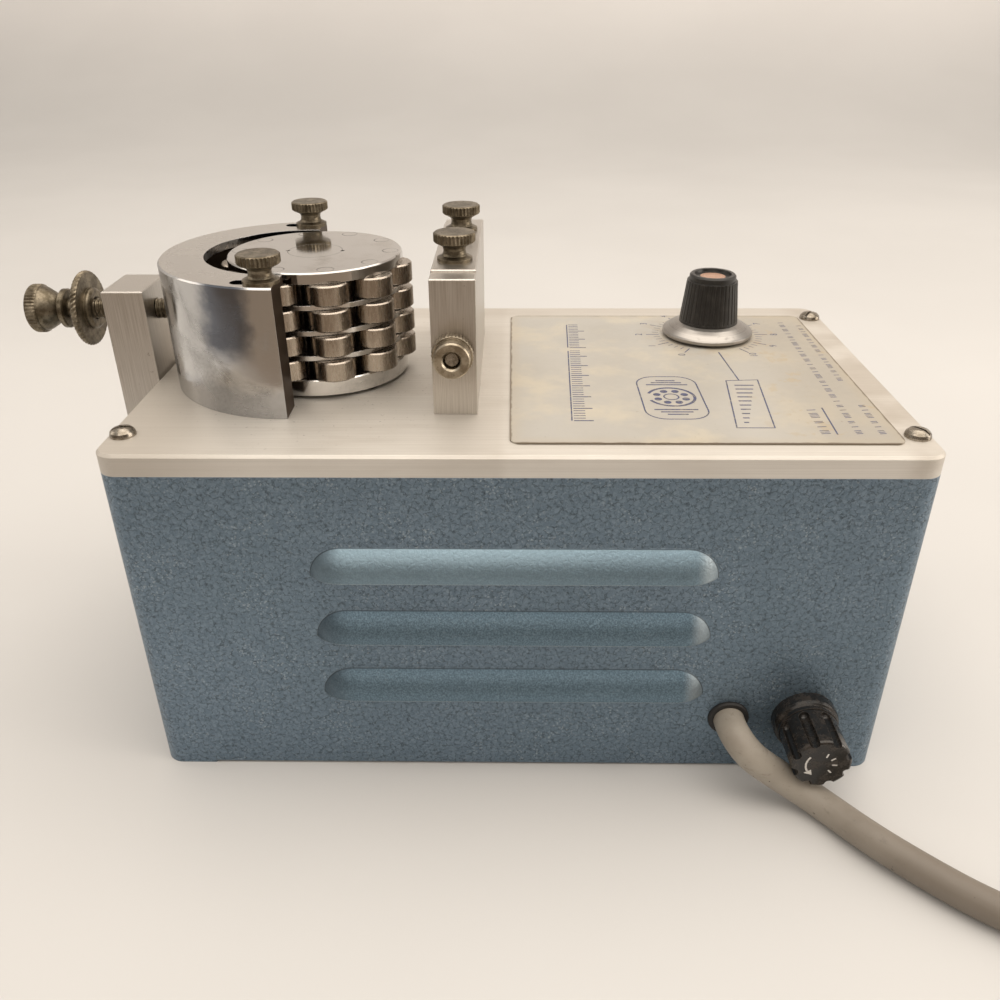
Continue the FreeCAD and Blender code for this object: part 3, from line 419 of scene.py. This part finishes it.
def ink():
    """Blue-grey printing ink, worn thin in places."""
    material, t = new_material("blue_ink")
    worn = t.step(t.noise(0.5, 4.0, 0.7), 0.36, 0.58, 0.45, 1.0)
    base = t.mix(t.noise(2.0), (0.045, 0.055, 0.13), (0.085, 0.095, 0.19))
    t.finish(Base_Color=base, Roughness=0.5, Alpha=worn)
    return material


def phenolic(name="black_phenolic", dust_and_sheen=(0.095, 0.082, 0.068), gloss=0.30):
    """Moulded black phenolic, dusty, with a painted highlight that slightly greys its edges."""
    material, t = new_material(name)
    film = t.step(t.noise(0.35, 5.0, 0.65), 0.40, 0.75)
    base = t.mix(t.math("MULTIPLY", film, 0.18), (0.012, 0.0115, 0.011), dust_and_sheen)
    # painted highlight: edges greyed with the same colour as the film
    base = t.mix(t.math("MULTIPLY", t.edge_mask(0.3), 0.35), base, dust_and_sheen)
    rough = t.math("ADD", t.math("MULTIPLY", film, 0.22), gloss)
    t.finish(Base_Color=base, Roughness=rough, Specular_IOR_Level=0.5,
             Normal=t.bump(t.noise(1.5), 0.15, 0.02, t.soft_edges(0.2)))
    return material


def lathe_metal(name, centre, light, dark, roughness, pitch=2.2):
    """Turned disc: fine concentric rings about an upright axis."""
    material, t = new_material(name)
    radius = t.around(centre)
    rings = t.noise(1.0, 3.0, 0.7, t.add("CombineXYZ", 0, i0=t.math("MULTIPLY", radius, pitch)))
    base = t.mix(t.step(rings, 0.3, 0.7), dark, light)
    marks = t.step(t.noise(0.4, 5.0, 0.6), 0.55, 0.75, 0.0, 0.35)
    base = t.mix(marks, base, tuple(c * 0.45 for c in dark))
    rough = t.math("ADD", t.math("MULTIPLY", marks, 0.25), roughness)
    t.finish(Base_Color=base, Metallic=1.0, Roughness=rough,
             Normal=t.bump(rings, 0.35, 0.012, t.soft_edges(0.3)))
    return material


def cord_skin():
    """Grey-beige PVC: matt, scuffed, with small dark nicks."""
    material, t = new_material("cord_skin")
    base = t.mix(t.step(t.noise(0.05, 4.0, 0.6), 0.35, 0.7), (0.365, 0.330, 0.280), (0.275, 0.242, 0.200))
    scuff = t.step(t.noise(1.0, 4.0, 0.7, t.stretched(0.25, 0.25, 0.9)), 0.58, 0.72, 0.0, 0.45)
    base = t.mix(scuff, base, (0.16, 0.135, 0.11))
    # painted shade: the cord darkens towards its far right-hand end
    base = t.mix(t.step(t.xyz(t.mm())[0], 76.0, 115.0, 0.0, 0.85), base, (0.165, 0.138, 0.110))
    nick = t.step(t.noise(0.5, 3.0, 0.6), 0.70, 0.73, 0.0, 0.8)
    base = t.mix(nick, base, (0.05, 0.04, 0.035))
    rough = t.math("ADD", t.math("MULTIPLY", t.noise(0.8), 0.2), 0.38)
    t.finish(Base_Color=base, Roughness=rough, Normal=t.bump(t.noise(0.9, 4.0, 0.6), 0.22, 0.05))
    return material


def grainy(name, light, dark, roughness, metallic=0.0, scale=0.8):
    """Plain moulded or cast surface with a two-tone grain."""
    material, t = new_material(name)
    grain = t.noise(scale, 4.0, 0.6)
    base = t.mix(t.step(grain, 0.35, 0.65), dark, light)
    rough = t.math("ADD", t.math("MULTIPLY", grain, 0.2), roughness)
    t.finish(Base_Color=base, Metallic=metallic, Roughness=rough,
             Normal=t.bump(grain, 0.2, 0.03, t.soft_edges(0.2)))
    return material


def clear_glass():
    material, t = new_material("fuse_glass")
    haze = t.math("ADD", t.math("MULTIPLY", t.noise(0.8), 0.1), 0.03)
    t.finish(Base_Color=(0.9, 0.95, 0.93), Roughness=haze, Transmission_Weight=0.9, IOR=1.5)
    return material


# ---- meshes --------------------------------------------------------------------------------
def new_piece(name, bm, body, material, smooth_angle=30.0):
    """Turns a bmesh in metres into a piece that rides on a body."""
    bmesh.ops.recalc_face_normals(bm, faces=bm.faces)
    mesh = bpy.data.meshes.new(name)
    bm.to_mesh(mesh)
    bm.free()
    mesh.materials.append(material)
    piece = bpy.data.objects.new(name, mesh)
    bpy.context.scene.collection.objects.link(piece)
    mesh.shade_smooth()
    mesh.set_sharp_from_angle(angle=math.radians(smooth_angle))
    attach(piece, body)
    return piece


def filled_in(profile, spacing):
    """The (radius, height) points with extra ones so that no step is longer than spacing."""
    points = [profile[0]]
    for (r0, h0), (r1, h1) in zip(profile, profile[1:]):
        parts = max(1, math.ceil(math.hypot(r1 - r0, h1 - h0) / spacing))
        points += [(r0 + (r1 - r0) * i / parts, h0 + (h1 - h0) * i / parts) for i in range(1, parts + 1)]
    return points


def turned(profile, origin, axis, segments, ripple=None):
    """Closed bmesh of revolution about origin + axis; ripple(angle, radius, height) adds to the radius."""
    axis = Vector(axis).normalized()
    side = axis.orthogonal().normalized()
    other = axis.cross(side)
    bm = bmesh.new()
    rings = []
    for radius, height in profile:
        centre = Vector(origin) + axis * height
        if radius < 1e-6:
            rings.append([bm.verts.new(centre * MM)])
            continue
        ring = []
        for i in range(segments):
            angle = 2 * math.pi * i / segments
            r = radius + (ripple(angle, radius, height) if ripple else 0.0)
            spoke = side * math.cos(angle) + other * math.sin(angle)
            ring.append(bm.verts.new((centre + spoke * r) * MM))
        rings.append(ring)
    for low, high in zip(rings, rings[1:]):
        for i in range(segments):
            j = (i + 1) % segments
            corners = [low[i % len(low)], low[j % len(low)], high[j % len(high)], high[i % len(high)]]
            unique = list(dict.fromkeys(corners))
            if len(unique) > 2:
                bm.faces.new(unique)
    return bm


def ridge_wave(turns):
    """Triangle wave 0..1 of a number of turns."""
    return abs((turns % 1.0) * 2 - 1)


# ---- print on the name plate ---------------------------------------------------------------
INK_TOP = PLATE_HI.z + 0.02
INK_FOOT = PLATE_HI.z - 0.05


def ink_prism(bm, outline):
    """Thin slab over a convex outline of (x, y) points on the name plate."""
    low = [bm.verts.new(Vector((x, y, INK_FOOT)) * MM) for x, y in outline]
    high = [bm.verts.new(Vector((x, y, INK_TOP)) * MM) for x, y in outline]
    bm.faces.new(high)
    bm.faces.new(list(reversed(low)))
    for i in range(len(outline)):
        j = (i + 1) % len(outline)
        bm.faces.new([low[i], low[j], high[j], high[i]])


def ink_line(bm, start, end, width):
    start, end = Vector(start), Vector(end)
    across = (end - start).orthogonal().normalized() * width / 2
    ink_prism(bm, [start - across, end - across, end + across, start + across])


def ink_path(bm, points, width, closed=False):
    """Joined-up line of constant width, as one closed ribbon."""
    points = [Vector(p) for p in points]
    count = len(points)
    sides = []
    for i, point in enumerate(points):
        before = points[i - 1] if closed or i else point
        after = points[(i + 1) % count] if closed or i < count - 1 else point
        into = (point - before).normalized() if point != before else (after - point).normalized()
        out = (after - point).normalized() if after != point else into
        normal = (into.orthogonal() + out.orthogonal()).normalized()
        reach = width / 2 / max(0.3, normal.dot(into.orthogonal()))
        sides.append((point - normal * reach, point + normal * reach))
    loops = []
    for (x0, y0), (x1, y1) in sides:
        loops.append([bm.verts.new(Vector(c) * MM) for c in
                      ((x0, y0, INK_FOOT), (x1, y1, INK_FOOT), (x1, y1, INK_TOP), (x0, y0, INK_TOP))])
    pairs = list(zip(loops, loops[1:])) + ([(loops[-1], loops[0])] if closed else [])
    for a, b in pairs:
        for k in range(4):
            m = (k + 1) % 4
            bm.faces.new([a[k], a[m], b[m], b[k]])
    if not closed:
        bm.faces.new(loops[0])
        bm.faces.new(list(reversed(loops[-1])))


def arc_points(centre, radius, start, end, count, squash=1.0):
    spots = []
    for i in range(count):
        a = math.radians(start + (end - start) * i / (count - 1))
        spots.append((centre[0] + radius * math.cos(a), centre[1] + radius * squash * math.sin(a)))
    return spots


def print_heading(material):
    """Measuring-scale band where the heading sits: two stretches of long and short bars on a thin rule."""
    bm = bmesh.new()
    for start, count in ((-43.0, 34), (18.0, 15)):
        for i in range(count):
            y = start + i * 1.75
            length = 5.6 if i % 5 == 0 else 3.4
            x = 16.0 + (y + 43.0) * 0.033
            ink_line(bm, (x, y), (x + length, y), 0.62 if i % 5 == 0 else 0.45)
        end = start + (count - 1) * 1.75
        ink_line(bm, (15.4 + (start + 43) * 0.033, start), (15.4 + (end + 43) * 0.033, end), 0.4)
    return new_piece("print_heading", bm, "case", material)


def print_pump_sign(material):
    """Diagram of a roller head: a rounded frame, a looped tube, a hub and a ring of rollers."""
    bm = bmesh.new()
    cx, cy, half_x, half_y, corner = 46.3, -25.4, 9.2, 16.4, 6.0
    frame_line = []
    for sx, sy, start in ((1, 1, 0), (-1, 1, 90), (-1, -1, 180), (1, -1, 270)):
        centre = (cx + sx * (half_x - corner), cy + sy * (half_y - corner))
        frame_line += arc_points(centre, corner, start, start + 90, 8)
    ink_path(bm, frame_line, 0.45, closed=True)
    ink_path(bm, arc_points((cx, cy), 7.0, -158, 158, 48), 0.9)
    for i in range(8):
        a = math.radians(45 * i + 22.5)
        ink_prism(bm, arc_points((cx + 4.5 * math.cos(a), cy + 4.5 * math.sin(a)), 1.15, 0, 345, 20))
    ink_path(bm, arc_points((cx, cy), 2.2, 0, 345, 24), 0.5, closed=True)
    for side in (-1, 1):
        for row in range(3):
            reach = 6.4 - 1.7 * row
            y = cy + side * (9.6 + 1.7 * row)
            ink_line(bm, (cx - reach, y), (cx + reach, y), 0.7)
    return new_piece("print_pump_sign", bm, "case", material)


def print_speed_box(material):
    """Frame with a growing wedge, tied to the knob by a leader line."""
    bm = bmesh.new()
    corners = [(65.4, -12.3), (75.4, -11.6), (71.8, -47.7), (61.2, -47.7)]
    ink_path(bm, corners, 0.42, closed=True)
    ink_line(bm, (69.5, -12.0), (68.2, 13.5), 0.45)
    for i in range(10):
        y = -44.0 + i * 3.1
        x = 63.6 + (y + 47.7) * 0.115
        ink_line(bm, (x, y), (x + 1.4 + 0.5 * i, y), 0.7)
    return new_piece("print_speed_box", bm, "case", material)


def print_dial(material):
    """Scale ring of long and short ticks about the knob."""
    bm = bmesh.new()
    for i in range(41):
        a = math.radians(240 - 7.5 * i)
        out = 21.5 if i % 4 == 0 else 19.2
        spoke = Vector((math.cos(a), math.sin(a)))
        centre = Vector((KNOB.x, KNOB.y))
        ink_line(bm, centre + spoke * 17.0, centre + spoke * out, 0.38 if i % 4 == 0 else 0.25)
    return new_piece("print_dial", bm, "case", material)


def print_numbers(material):
    """Numbers 0 to 10 outside the long ticks."""
    bm = bmesh.new()
    for i in range(11):
        a = math.radians(240 - 30 * i)
        text = bpy.data.curves.new("number", "FONT")
        text.body = str(i)
        text.size = 3.6 * MM
        text.extrude = 0.03 * MM
        text.align_x = "CENTER"
        text.align_y = "CENTER"
        text.resolution_u = 3
        holder = bpy.data.objects.new("number", text)
        bpy.context.scene.collection.objects.link(holder)
        bpy.context.view_layer.update()
        mesh = bpy.data.meshes.new_from_object(holder.evaluated_get(bpy.context.evaluated_depsgraph_get()))
        spot = Vector((KNOB.x + 24.0 * math.cos(a), KNOB.y + 24.0 * math.sin(a), PLATE_HI.z - 0.005))
        mesh.transform(Matrix.Translation(spot * MM) @ Matrix.Rotation(math.radians(90), 4, "Z"))
        bm.from_mesh(mesh)
        bpy.data.meshes.remove(mesh)
        bpy.data.objects.remove(holder)
    bmesh.ops.remove_doubles(bm, verts=bm.verts, dist=0.0005 * MM)
    return new_piece("print_numbers", bm, "case", material)


def print_rules(material):
    """Underline and rows of short dashes along the right-hand side of the plate."""
    bm = bmesh.new()
    ink_line(bm, (87.9, -52.0), (89.0, -33.5), 0.45)
    dashes = (3.2, 1.4, 2.4, 4.0, 1.2, 2.8, 1.8, 3.4)
    for x, y_start, y_end, tall in ((83.6, -51.5, -35.0, 2.6), (93.2, -51.5, 46.0, 1.9),
                                    (99.6, -51.5, -32.0, 1.9), (100.4, -12.0, 44.0, 1.7)):
        y = y_start
        i = 0
        while y < y_end:
            long = dashes[i % len(dashes)]
            lean = (y - y_start) * 0.03
            for part in range(max(1, int(long))):
                yy = y + part * 0.95
                ink_line(bm, (x + lean, yy), (x + lean + tall, yy + 0.25), 0.36)
            y += long + 1.3
            i += 1
    return new_piece("print_rules", bm, "case", material)


# ---- pieces that stand for CAD nodes -------------------------------------------------------
THREAD_PITCH = 1.27
THREAD_DEPTH = 0.55


def adjusting_screw(material):
    """Knurled thumb screw with a real helical thread; the thread is as steep as its travel per turn."""
    lo, hi = box_mm("adjusting_screw")
    axis_z = (lo.z + hi.z) / 2
    length = hi.x - lo.x
    thread_from, thread_to = 12.2, length - 3.0
    head = [(0, 0.6), (5.6, 0.6), (6.0, 0.0), (7.0, 0.0), (7.45, 0.45), (7.55, 0.8), (7.55, 2.9), (7.4, 3.3),
            (6.9, 3.7), (6.6, 4.6), (5.4, 6.6), (3.9, 8.3), (3.2, 9.0), (3.2, 9.5), (5.9, 9.7), (6.1, 9.9),
            (6.1, 11.1), (5.7, 11.5), (2.9, 11.6), (2.9, 12.0)]
    shank = [(3.17, thread_from), (3.17, thread_to), (2.6, length - 2.3), (2.2, length - 2.2), (2.2, length),
             (0, length)]
    profile = filled_in(head, 0.45) + filled_in(shank, 0.16)

    def ripple(angle, radius, height):
        if radius > 7.3 and 0.4 < height < 3.4:
            return -0.28 * ridge_wave(angle * 44 / (2 * math.pi))
        if radius > 3.1 and height > thread_from - 0.01:
            ease = min(1.0, (height - thread_from) / 1.2, (thread_to - height) / 1.2)
            wave = ridge_wave(height / THREAD_PITCH - angle / (2 * math.pi))
            return -THREAD_DEPTH * max(0.0, ease) * (1 - min(1.0, wave * 1.25))
        return 0.0

    bm = turned(profile, (lo.x, 0, axis_z), (1, 0, 0), 176, ripple)
    piece = new_piece("adjusting_screw_threaded", bm, "adjuster", material)
    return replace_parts(piece, "adjusting_screw")


def lock_nut(material):
    """Thin round nut with a rope-knurled rim and a raised hub."""
    lo, hi = box_mm("lock_nut")
    bore = 3.23
    profile = [(bore, 3.2), (bore + 0.5, 3.7), (5.5, 3.7), (6.1, 3.3), (6.4, 2.9), (6.4, 2.0), (10.6, 2.0),
               (11.2, 1.9), (11.62, 1.5), (11.7, 1.0), (11.62, 0.5), (11.2, 0.1), (10.6, 0.0),
               (bore + 0.5, 0.0), (bore, 0.5), (bore, 3.2)]
    profile = filled_in(profile, 0.22)

    def ripple(angle, radius, height):
        if radius < 11.0:
            return 0.0
        wave = ridge_wave(angle * 48 / (2 * math.pi) + height * 0.55)
        return -0.42 * wave * min(1.0, (radius - 11.0) / 0.5)

    bm = turned(profile[:-1] + [profile[0]], (lo.x, 0, (lo.z + hi.z) / 2), (1, 0, 0), 240, ripple)
    bmesh.ops.remove_doubles(bm, verts=bm.verts, dist=0.001 * MM)
    piece = new_piece("lock_nut_knurled", bm, "locking_disc", material)
    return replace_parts(piece, "lock_nut")


def clamp_studs(material):
    """Both threaded studs of the tube clamp as one piece."""
    lo, hi = box_mm("clamp_studs")
    middle = (lo + hi) / 2
    length = 20.5
    whole = bmesh.new()
    for side in (-1, 1):
        start = (middle.x, side * (hi.y - length), middle.z)
        profile = filled_in([(0, 0), (2.38, 0), (2.38, length - 0.6), (1.8, length), (0, length)], 0.12)

        def ripple(angle, radius, height):
            if radius < 2.3:
                return 0.0
            ease = min(1.0, height, (length - 0.6 - height) / 0.5)
            wave = ridge_wave(height / 0.794 - angle / (2 * math.pi))
            return -0.38 * max(0.0, ease) * (1 - wave)

        bm = turned(profile, start, (0, side, 0), 72, ripple)
        part = bpy.data.meshes.new("stud")
        bm.to_mesh(part)
        bm.free()
        whole.from_mesh(part)
        bpy.data.meshes.remove(part)
    piece = new_piece("clamp_studs_threaded", whole, "case", material)
    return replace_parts(piece, "clamp_studs")


def cap_arrow(material):
    """White curved arrow and four short strokes on the end face of the fuse cap."""
    bm = bmesh.new()
    centre = (CAP_LO + CAP_HI) / 2
    face_y = CAP_LO.y

    def spot(radius, degrees):
        a = math.radians(degrees)
        return Vector((centre.x + radius * math.cos(a), 0, centre.z + radius * math.sin(a)))

    def slab(outline):
        low = [bm.verts.new(Vector((c.x, face_y + 0.05, c.z)) * MM) for c in outline]
        high = [bm.verts.new(Vector((c.x, face_y - 0.03, c.z)) * MM) for c in outline]
        bm.faces.new(high)
        bm.faces.new(list(reversed(low)))
        for k in range(len(outline)):
            m = (k + 1) % len(outline)
            bm.faces.new([low[k], low[m], high[m], high[k]])

    inner, outer, first, last, count = 4.45, 5.05, 142, 212, 12
    steps = [first + (last - first) * i / (count - 1) for i in range(count)]
    slab([spot(outer, a) for a in steps] + [spot(inner, a) for a in reversed(steps)])
    slab([spot(outer + 0.9, last + 1), spot((outer + inner) / 2, last + 27), spot(inner - 0.9, last + 1)])
    for middle in (74, 36, -2, -46):
        slab([spot(2.9, middle - 5), spot(4.4, middle - 3.3), spot(4.4, middle + 3.3), spot(2.9, middle + 5)])
    return new_piece("fuse_cap_arrow", bm, "cap", material)


# ---- dress the CAD nodes -------------------------------------------------------------------
def dress():
    """One material per finish, assigned to the CAD nodes; the same ones serve the new pieces."""
    finish = {
        "enamel": hammertone(),
        "deck": deck_metal(),
        "bar": brushed("bar_aluminium", (0.67, 0.64, 0.60), (0.49, 0.46, 0.42), (4.0, 4.0, 0.05), 0.30,
                       stain=0.6),
        "sheet": brushed("galvanised_sheet", (0.55, 0.55, 0.55), (0.40, 0.40, 0.41), (0.5, 0.4, 0.5), 0.42),
        "shoe": shoe_chrome(),
        "spacer": chrome("spacer_chrome", 0.14, 0.10),
        "rotor": rotor_face(),
        "roller": brushed("roller_steel", (0.51, 0.45, 0.385), (0.39, 0.34, 0.285), (1.6, 1.6, 0.25), 0.19,
                          edge=0.55, stain=0.25, depth=0.0012),
        "nickel": tarnished("tarnished_nickel", (0.265, 0.227, 0.168), (0.112, 0.092, 0.062), 0.38),
        "clean_nickel": tarnished("rubbed_nickel", (0.48, 0.425, 0.335), (0.26, 0.215, 0.155), 0.30),
        "screw": tarnished("screw_nickel", (0.44, 0.40, 0.345), (0.22, 0.19, 0.15), 0.27),
        "paint": plate_paint(),
        "ink": ink(),
        "phenolic": phenolic(),
        "skirt": lathe_metal("spun_aluminium", KNOB, (0.43, 0.41, 0.385), (0.33, 0.31, 0.29), 0.32),
        "copper": lathe_metal("copper_disc", KNOB, (0.84, 0.56, 0.42), (0.60, 0.38, 0.28), 0.40, 3.0),
        "fuse_moulding": phenolic("brown_phenolic", (0.17, 0.125, 0.09), 0.18),
        "rubber": grainy("black_rubber", (0.022, 0.021, 0.02), (0.013, 0.012, 0.012), 0.5),
        "cord": cord_skin(),
        "bronze": grainy("bronze", (0.42, 0.27, 0.13), (0.31, 0.19, 0.09), 0.3, 1.0),
        "zinc": grainy("zinc_casting", (0.42, 0.42, 0.42), (0.30, 0.30, 0.31), 0.45, 0.8, 0.4),
        "glass": clear_glass(),
        "white": grainy("white_mark", (0.70, 0.69, 0.66), (0.55, 0.53, 0.50), 0.5, 0.0, 1.5),
    }
    wearing = {
        "enamel": ["housing"],
        "deck": ["deck_plate"],
        "bar": ["adjuster_bracket", "clamp_block", "front_jaw", "rear_jaw"],
        "sheet": ["bottom_cover"],
        "shoe": ["pressure_shoe"],
        "spacer": ["rotor_spacer_discs", "rotor_base_disc"],
        "rotor": ["rotor_top_disc", "rotor_hub", "roller_pins"],
        "roller": ["roller_set_%02d" % (i + 1) for i in range(PIN_COUNT)] + ["rotor_sleeves"],
        "nickel": ["shoe_screw_front", "shoe_screw_rear", "clamp_screw_front", "clamp_screw_rear",
                   "adjusting_screw", "lock_nut"],
        "clean_nickel": ["front_clamp_nut", "rear_clamp_nut"],
        "screw": ["deck_screws", "cover_screws", "bracket_screws", "bracket_nut", "gearbox_screws",
                  "clamp_studs", "knob_spindle", "potentiometer_nut"],
        "paint": ["name_plate"],
        "phenolic": ["knob_body"],
        "fuse_moulding": ["fuse_cap", "fuse_holder", "fuse_holder_nut"],
        "skirt": ["knob_skirt"],
        "copper": ["knob_insert"],
        "rubber": ["cord_grommet"],
        "cord": ["power_cord"],
        "bronze": ["shaft_bush"],
        "zinc": ["gearbox", "motor", "potentiometer"],
        "glass": ["fuse"],
    }
    for look, names in wearing.items():
        for name in names:
            data = nodes[name].data
            data.materials.clear()
            data.materials.append(finish[look])
    return finish


# ---- stage, light and camera ---------------------------------------------------------------
WARM_WHITE = (1.0, 0.905, 0.80)


def build_stage():
    """Pale floor that sweeps up into a backdrop, with painted shade on the floor towards the camera and a
    painted glow on the backdrop, brighter to the right. Mirror reflections see its near part as a brown room.
    """
    half_width = 3.0
    bend = 1.2
    outline = [(-2.5, 0.0), (1.1, 0.0)]
    outline += [(1.1 + bend * math.sin(a), bend - bend * math.cos(a))
                for a in [math.radians(7.5 * i) for i in range(1, 13)]]
    outline.append((1.1 + bend, 3.0))
    bm = bmesh.new()
    rows = [[bm.verts.new((x, y, z)) for x in (-half_width, half_width)] for y, z in outline]
    for a, b in zip(rows, rows[1:]):
        bm.faces.new([a[0], a[1], b[1], b[0]])
    mesh = bpy.data.meshes.new("floor")
    bm.to_mesh(mesh)
    bm.free()
    mesh.shade_smooth()
    material, t = new_material("pale_paper")
    x, y, z = t.xyz(t.add("TexCoord", "Object"))
    paper = t.mix(t.step(t.noise(0.003, 3.0), 0.3, 0.7), (0.605, 0.60, 0.592), (0.635, 0.63, 0.622))
    # painted shade: the floor is darkened towards the camera
    paper = t.mix(t.step(y, -0.22, -0.12, 0.20, 0.0), paper, (0.30, 0.30, 0.30))
    near = t.step(y, -0.36, -0.20, 1.0, 0.0)
    mirrored = t.math("MULTIPLY", t.add("LightPath", "Is Glossy Ray"), near)
    base = t.mix(mirrored, paper, (0.25, 0.205, 0.165))
    # painted light: the backdrop glows, more towards the top and to the right
    backdrop_glow = t.math("MULTIPLY", t.step(z, 0.0, 0.4), t.step(x, -1.2, 1.2, 0.34, 0.47))
    t.finish(Base_Color=base, Roughness=0.85, Specular_IOR_Level=0.2, Emission_Color=(1.0, 0.87, 0.76),
             Emission_Strength=backdrop_glow)
    mesh.materials.append(material)
    floor = bpy.data.objects.new("floor", mesh)
    bpy.context.scene.collection.objects.link(floor)


def build_world():
    """Soft surroundings: bright overhead, warm and darker on the camera's side."""
    world = bpy.data.worlds.new("studio")
    world.use_nodes = True
    t = Tree(world.node_tree)
    _, y, z = t.xyz(t.add("TexCoord", "Generated"))
    up = t.step(z, -0.05, 0.75)
    front = t.step(y, -0.85, 0.1, 1.0, 0.0)
    sky = t.mix(up, (0.52, 0.46, 0.40), (0.95, 0.90, 0.83))
    sky = t.mix(t.math("MULTIPLY", front, t.step(up, 0.2, 0.9, 1.0, 0.35)), sky, (0.17, 0.115, 0.075))
    glow = t.mix(t.add("LightPath", "Is Camera Ray"), sky, (0.72, 0.64, 0.56))
    background = t.add("Background", Color=glow, Strength=0.75)
    out = t.tree.nodes.new("ShaderNodeOutputWorld")
    t.tree.links.new(background, out.inputs[0])
    bpy.context.scene.world = world


def area_light(name, place, target, size, power, colour=WARM_WHITE):
    data = bpy.data.lights.new(name, "AREA")
    data.shape = "RECTANGLE"
    data.size, data.size_y = size
    data.energy = power
    data.color = colour
    light = bpy.data.objects.new(name, data)
    light.location = place
    light.rotation_euler = (Vector(target) - Vector(place)).to_track_quat("-Z", "Y").to_euler()
    bpy.context.scene.collection.objects.link(light)


def build_camera():
    """Close view from the front, 29 degrees down."""
    pitch, yaw, roll = 0.5104, 0.0155, -0.0046
    ahead = Vector((-math.sin(yaw) * math.cos(pitch), math.cos(yaw) * math.cos(pitch), -math.sin(pitch)))
    right = Vector((math.cos(yaw), math.sin(yaw), 0.0))
    up = right.cross(ahead)
    x_axis = right * math.cos(roll) + up * math.sin(roll)
    y_axis = up * math.cos(roll) - right * math.sin(roll)
    data = bpy.data.cameras.new("camera")
    data.sensor_width = 36.0
    data.lens = 32.363
    camera = bpy.data.objects.new("camera", data)
    bpy.context.scene.collection.objects.link(camera)
    camera.matrix_world = Matrix.Translation((-0.00157, -0.2776, 0.2170)) @ Matrix(
        (x_axis, y_axis, -ahead)).transposed().to_4x4()
    bpy.context.scene.camera = camera


looks = dress()
adjusting_screw(looks["nickel"])
lock_nut(looks["nickel"])
clamp_studs(looks["screw"])
cap_arrow(looks["white"])
for draw in (print_heading, print_pump_sign, print_speed_box, print_dial, print_numbers, print_rules):
    draw(looks["ink"])

build_stage()
build_world()
area_light("overhead", (0.25, 0.04, 1.5), (0.25, 0.04, 0), (2.0, 1.78), 23)
area_light("right_window", (1.5, -0.15, 0.55), (0, 0, 0.06), (0.9, 0.9), 9)
area_light("front_fill", (-0.2, -1.4, 0.95), (0, -0.05, 0.06), (1.8, 0.7), 4)
area_light("left_fill", (-1.5, 0.2, 0.9), (0, 0, 0.08), (0.8, 0.8), 2.5)
build_camera()
bpy.context.scene.view_settings.view_transform = "Standard"
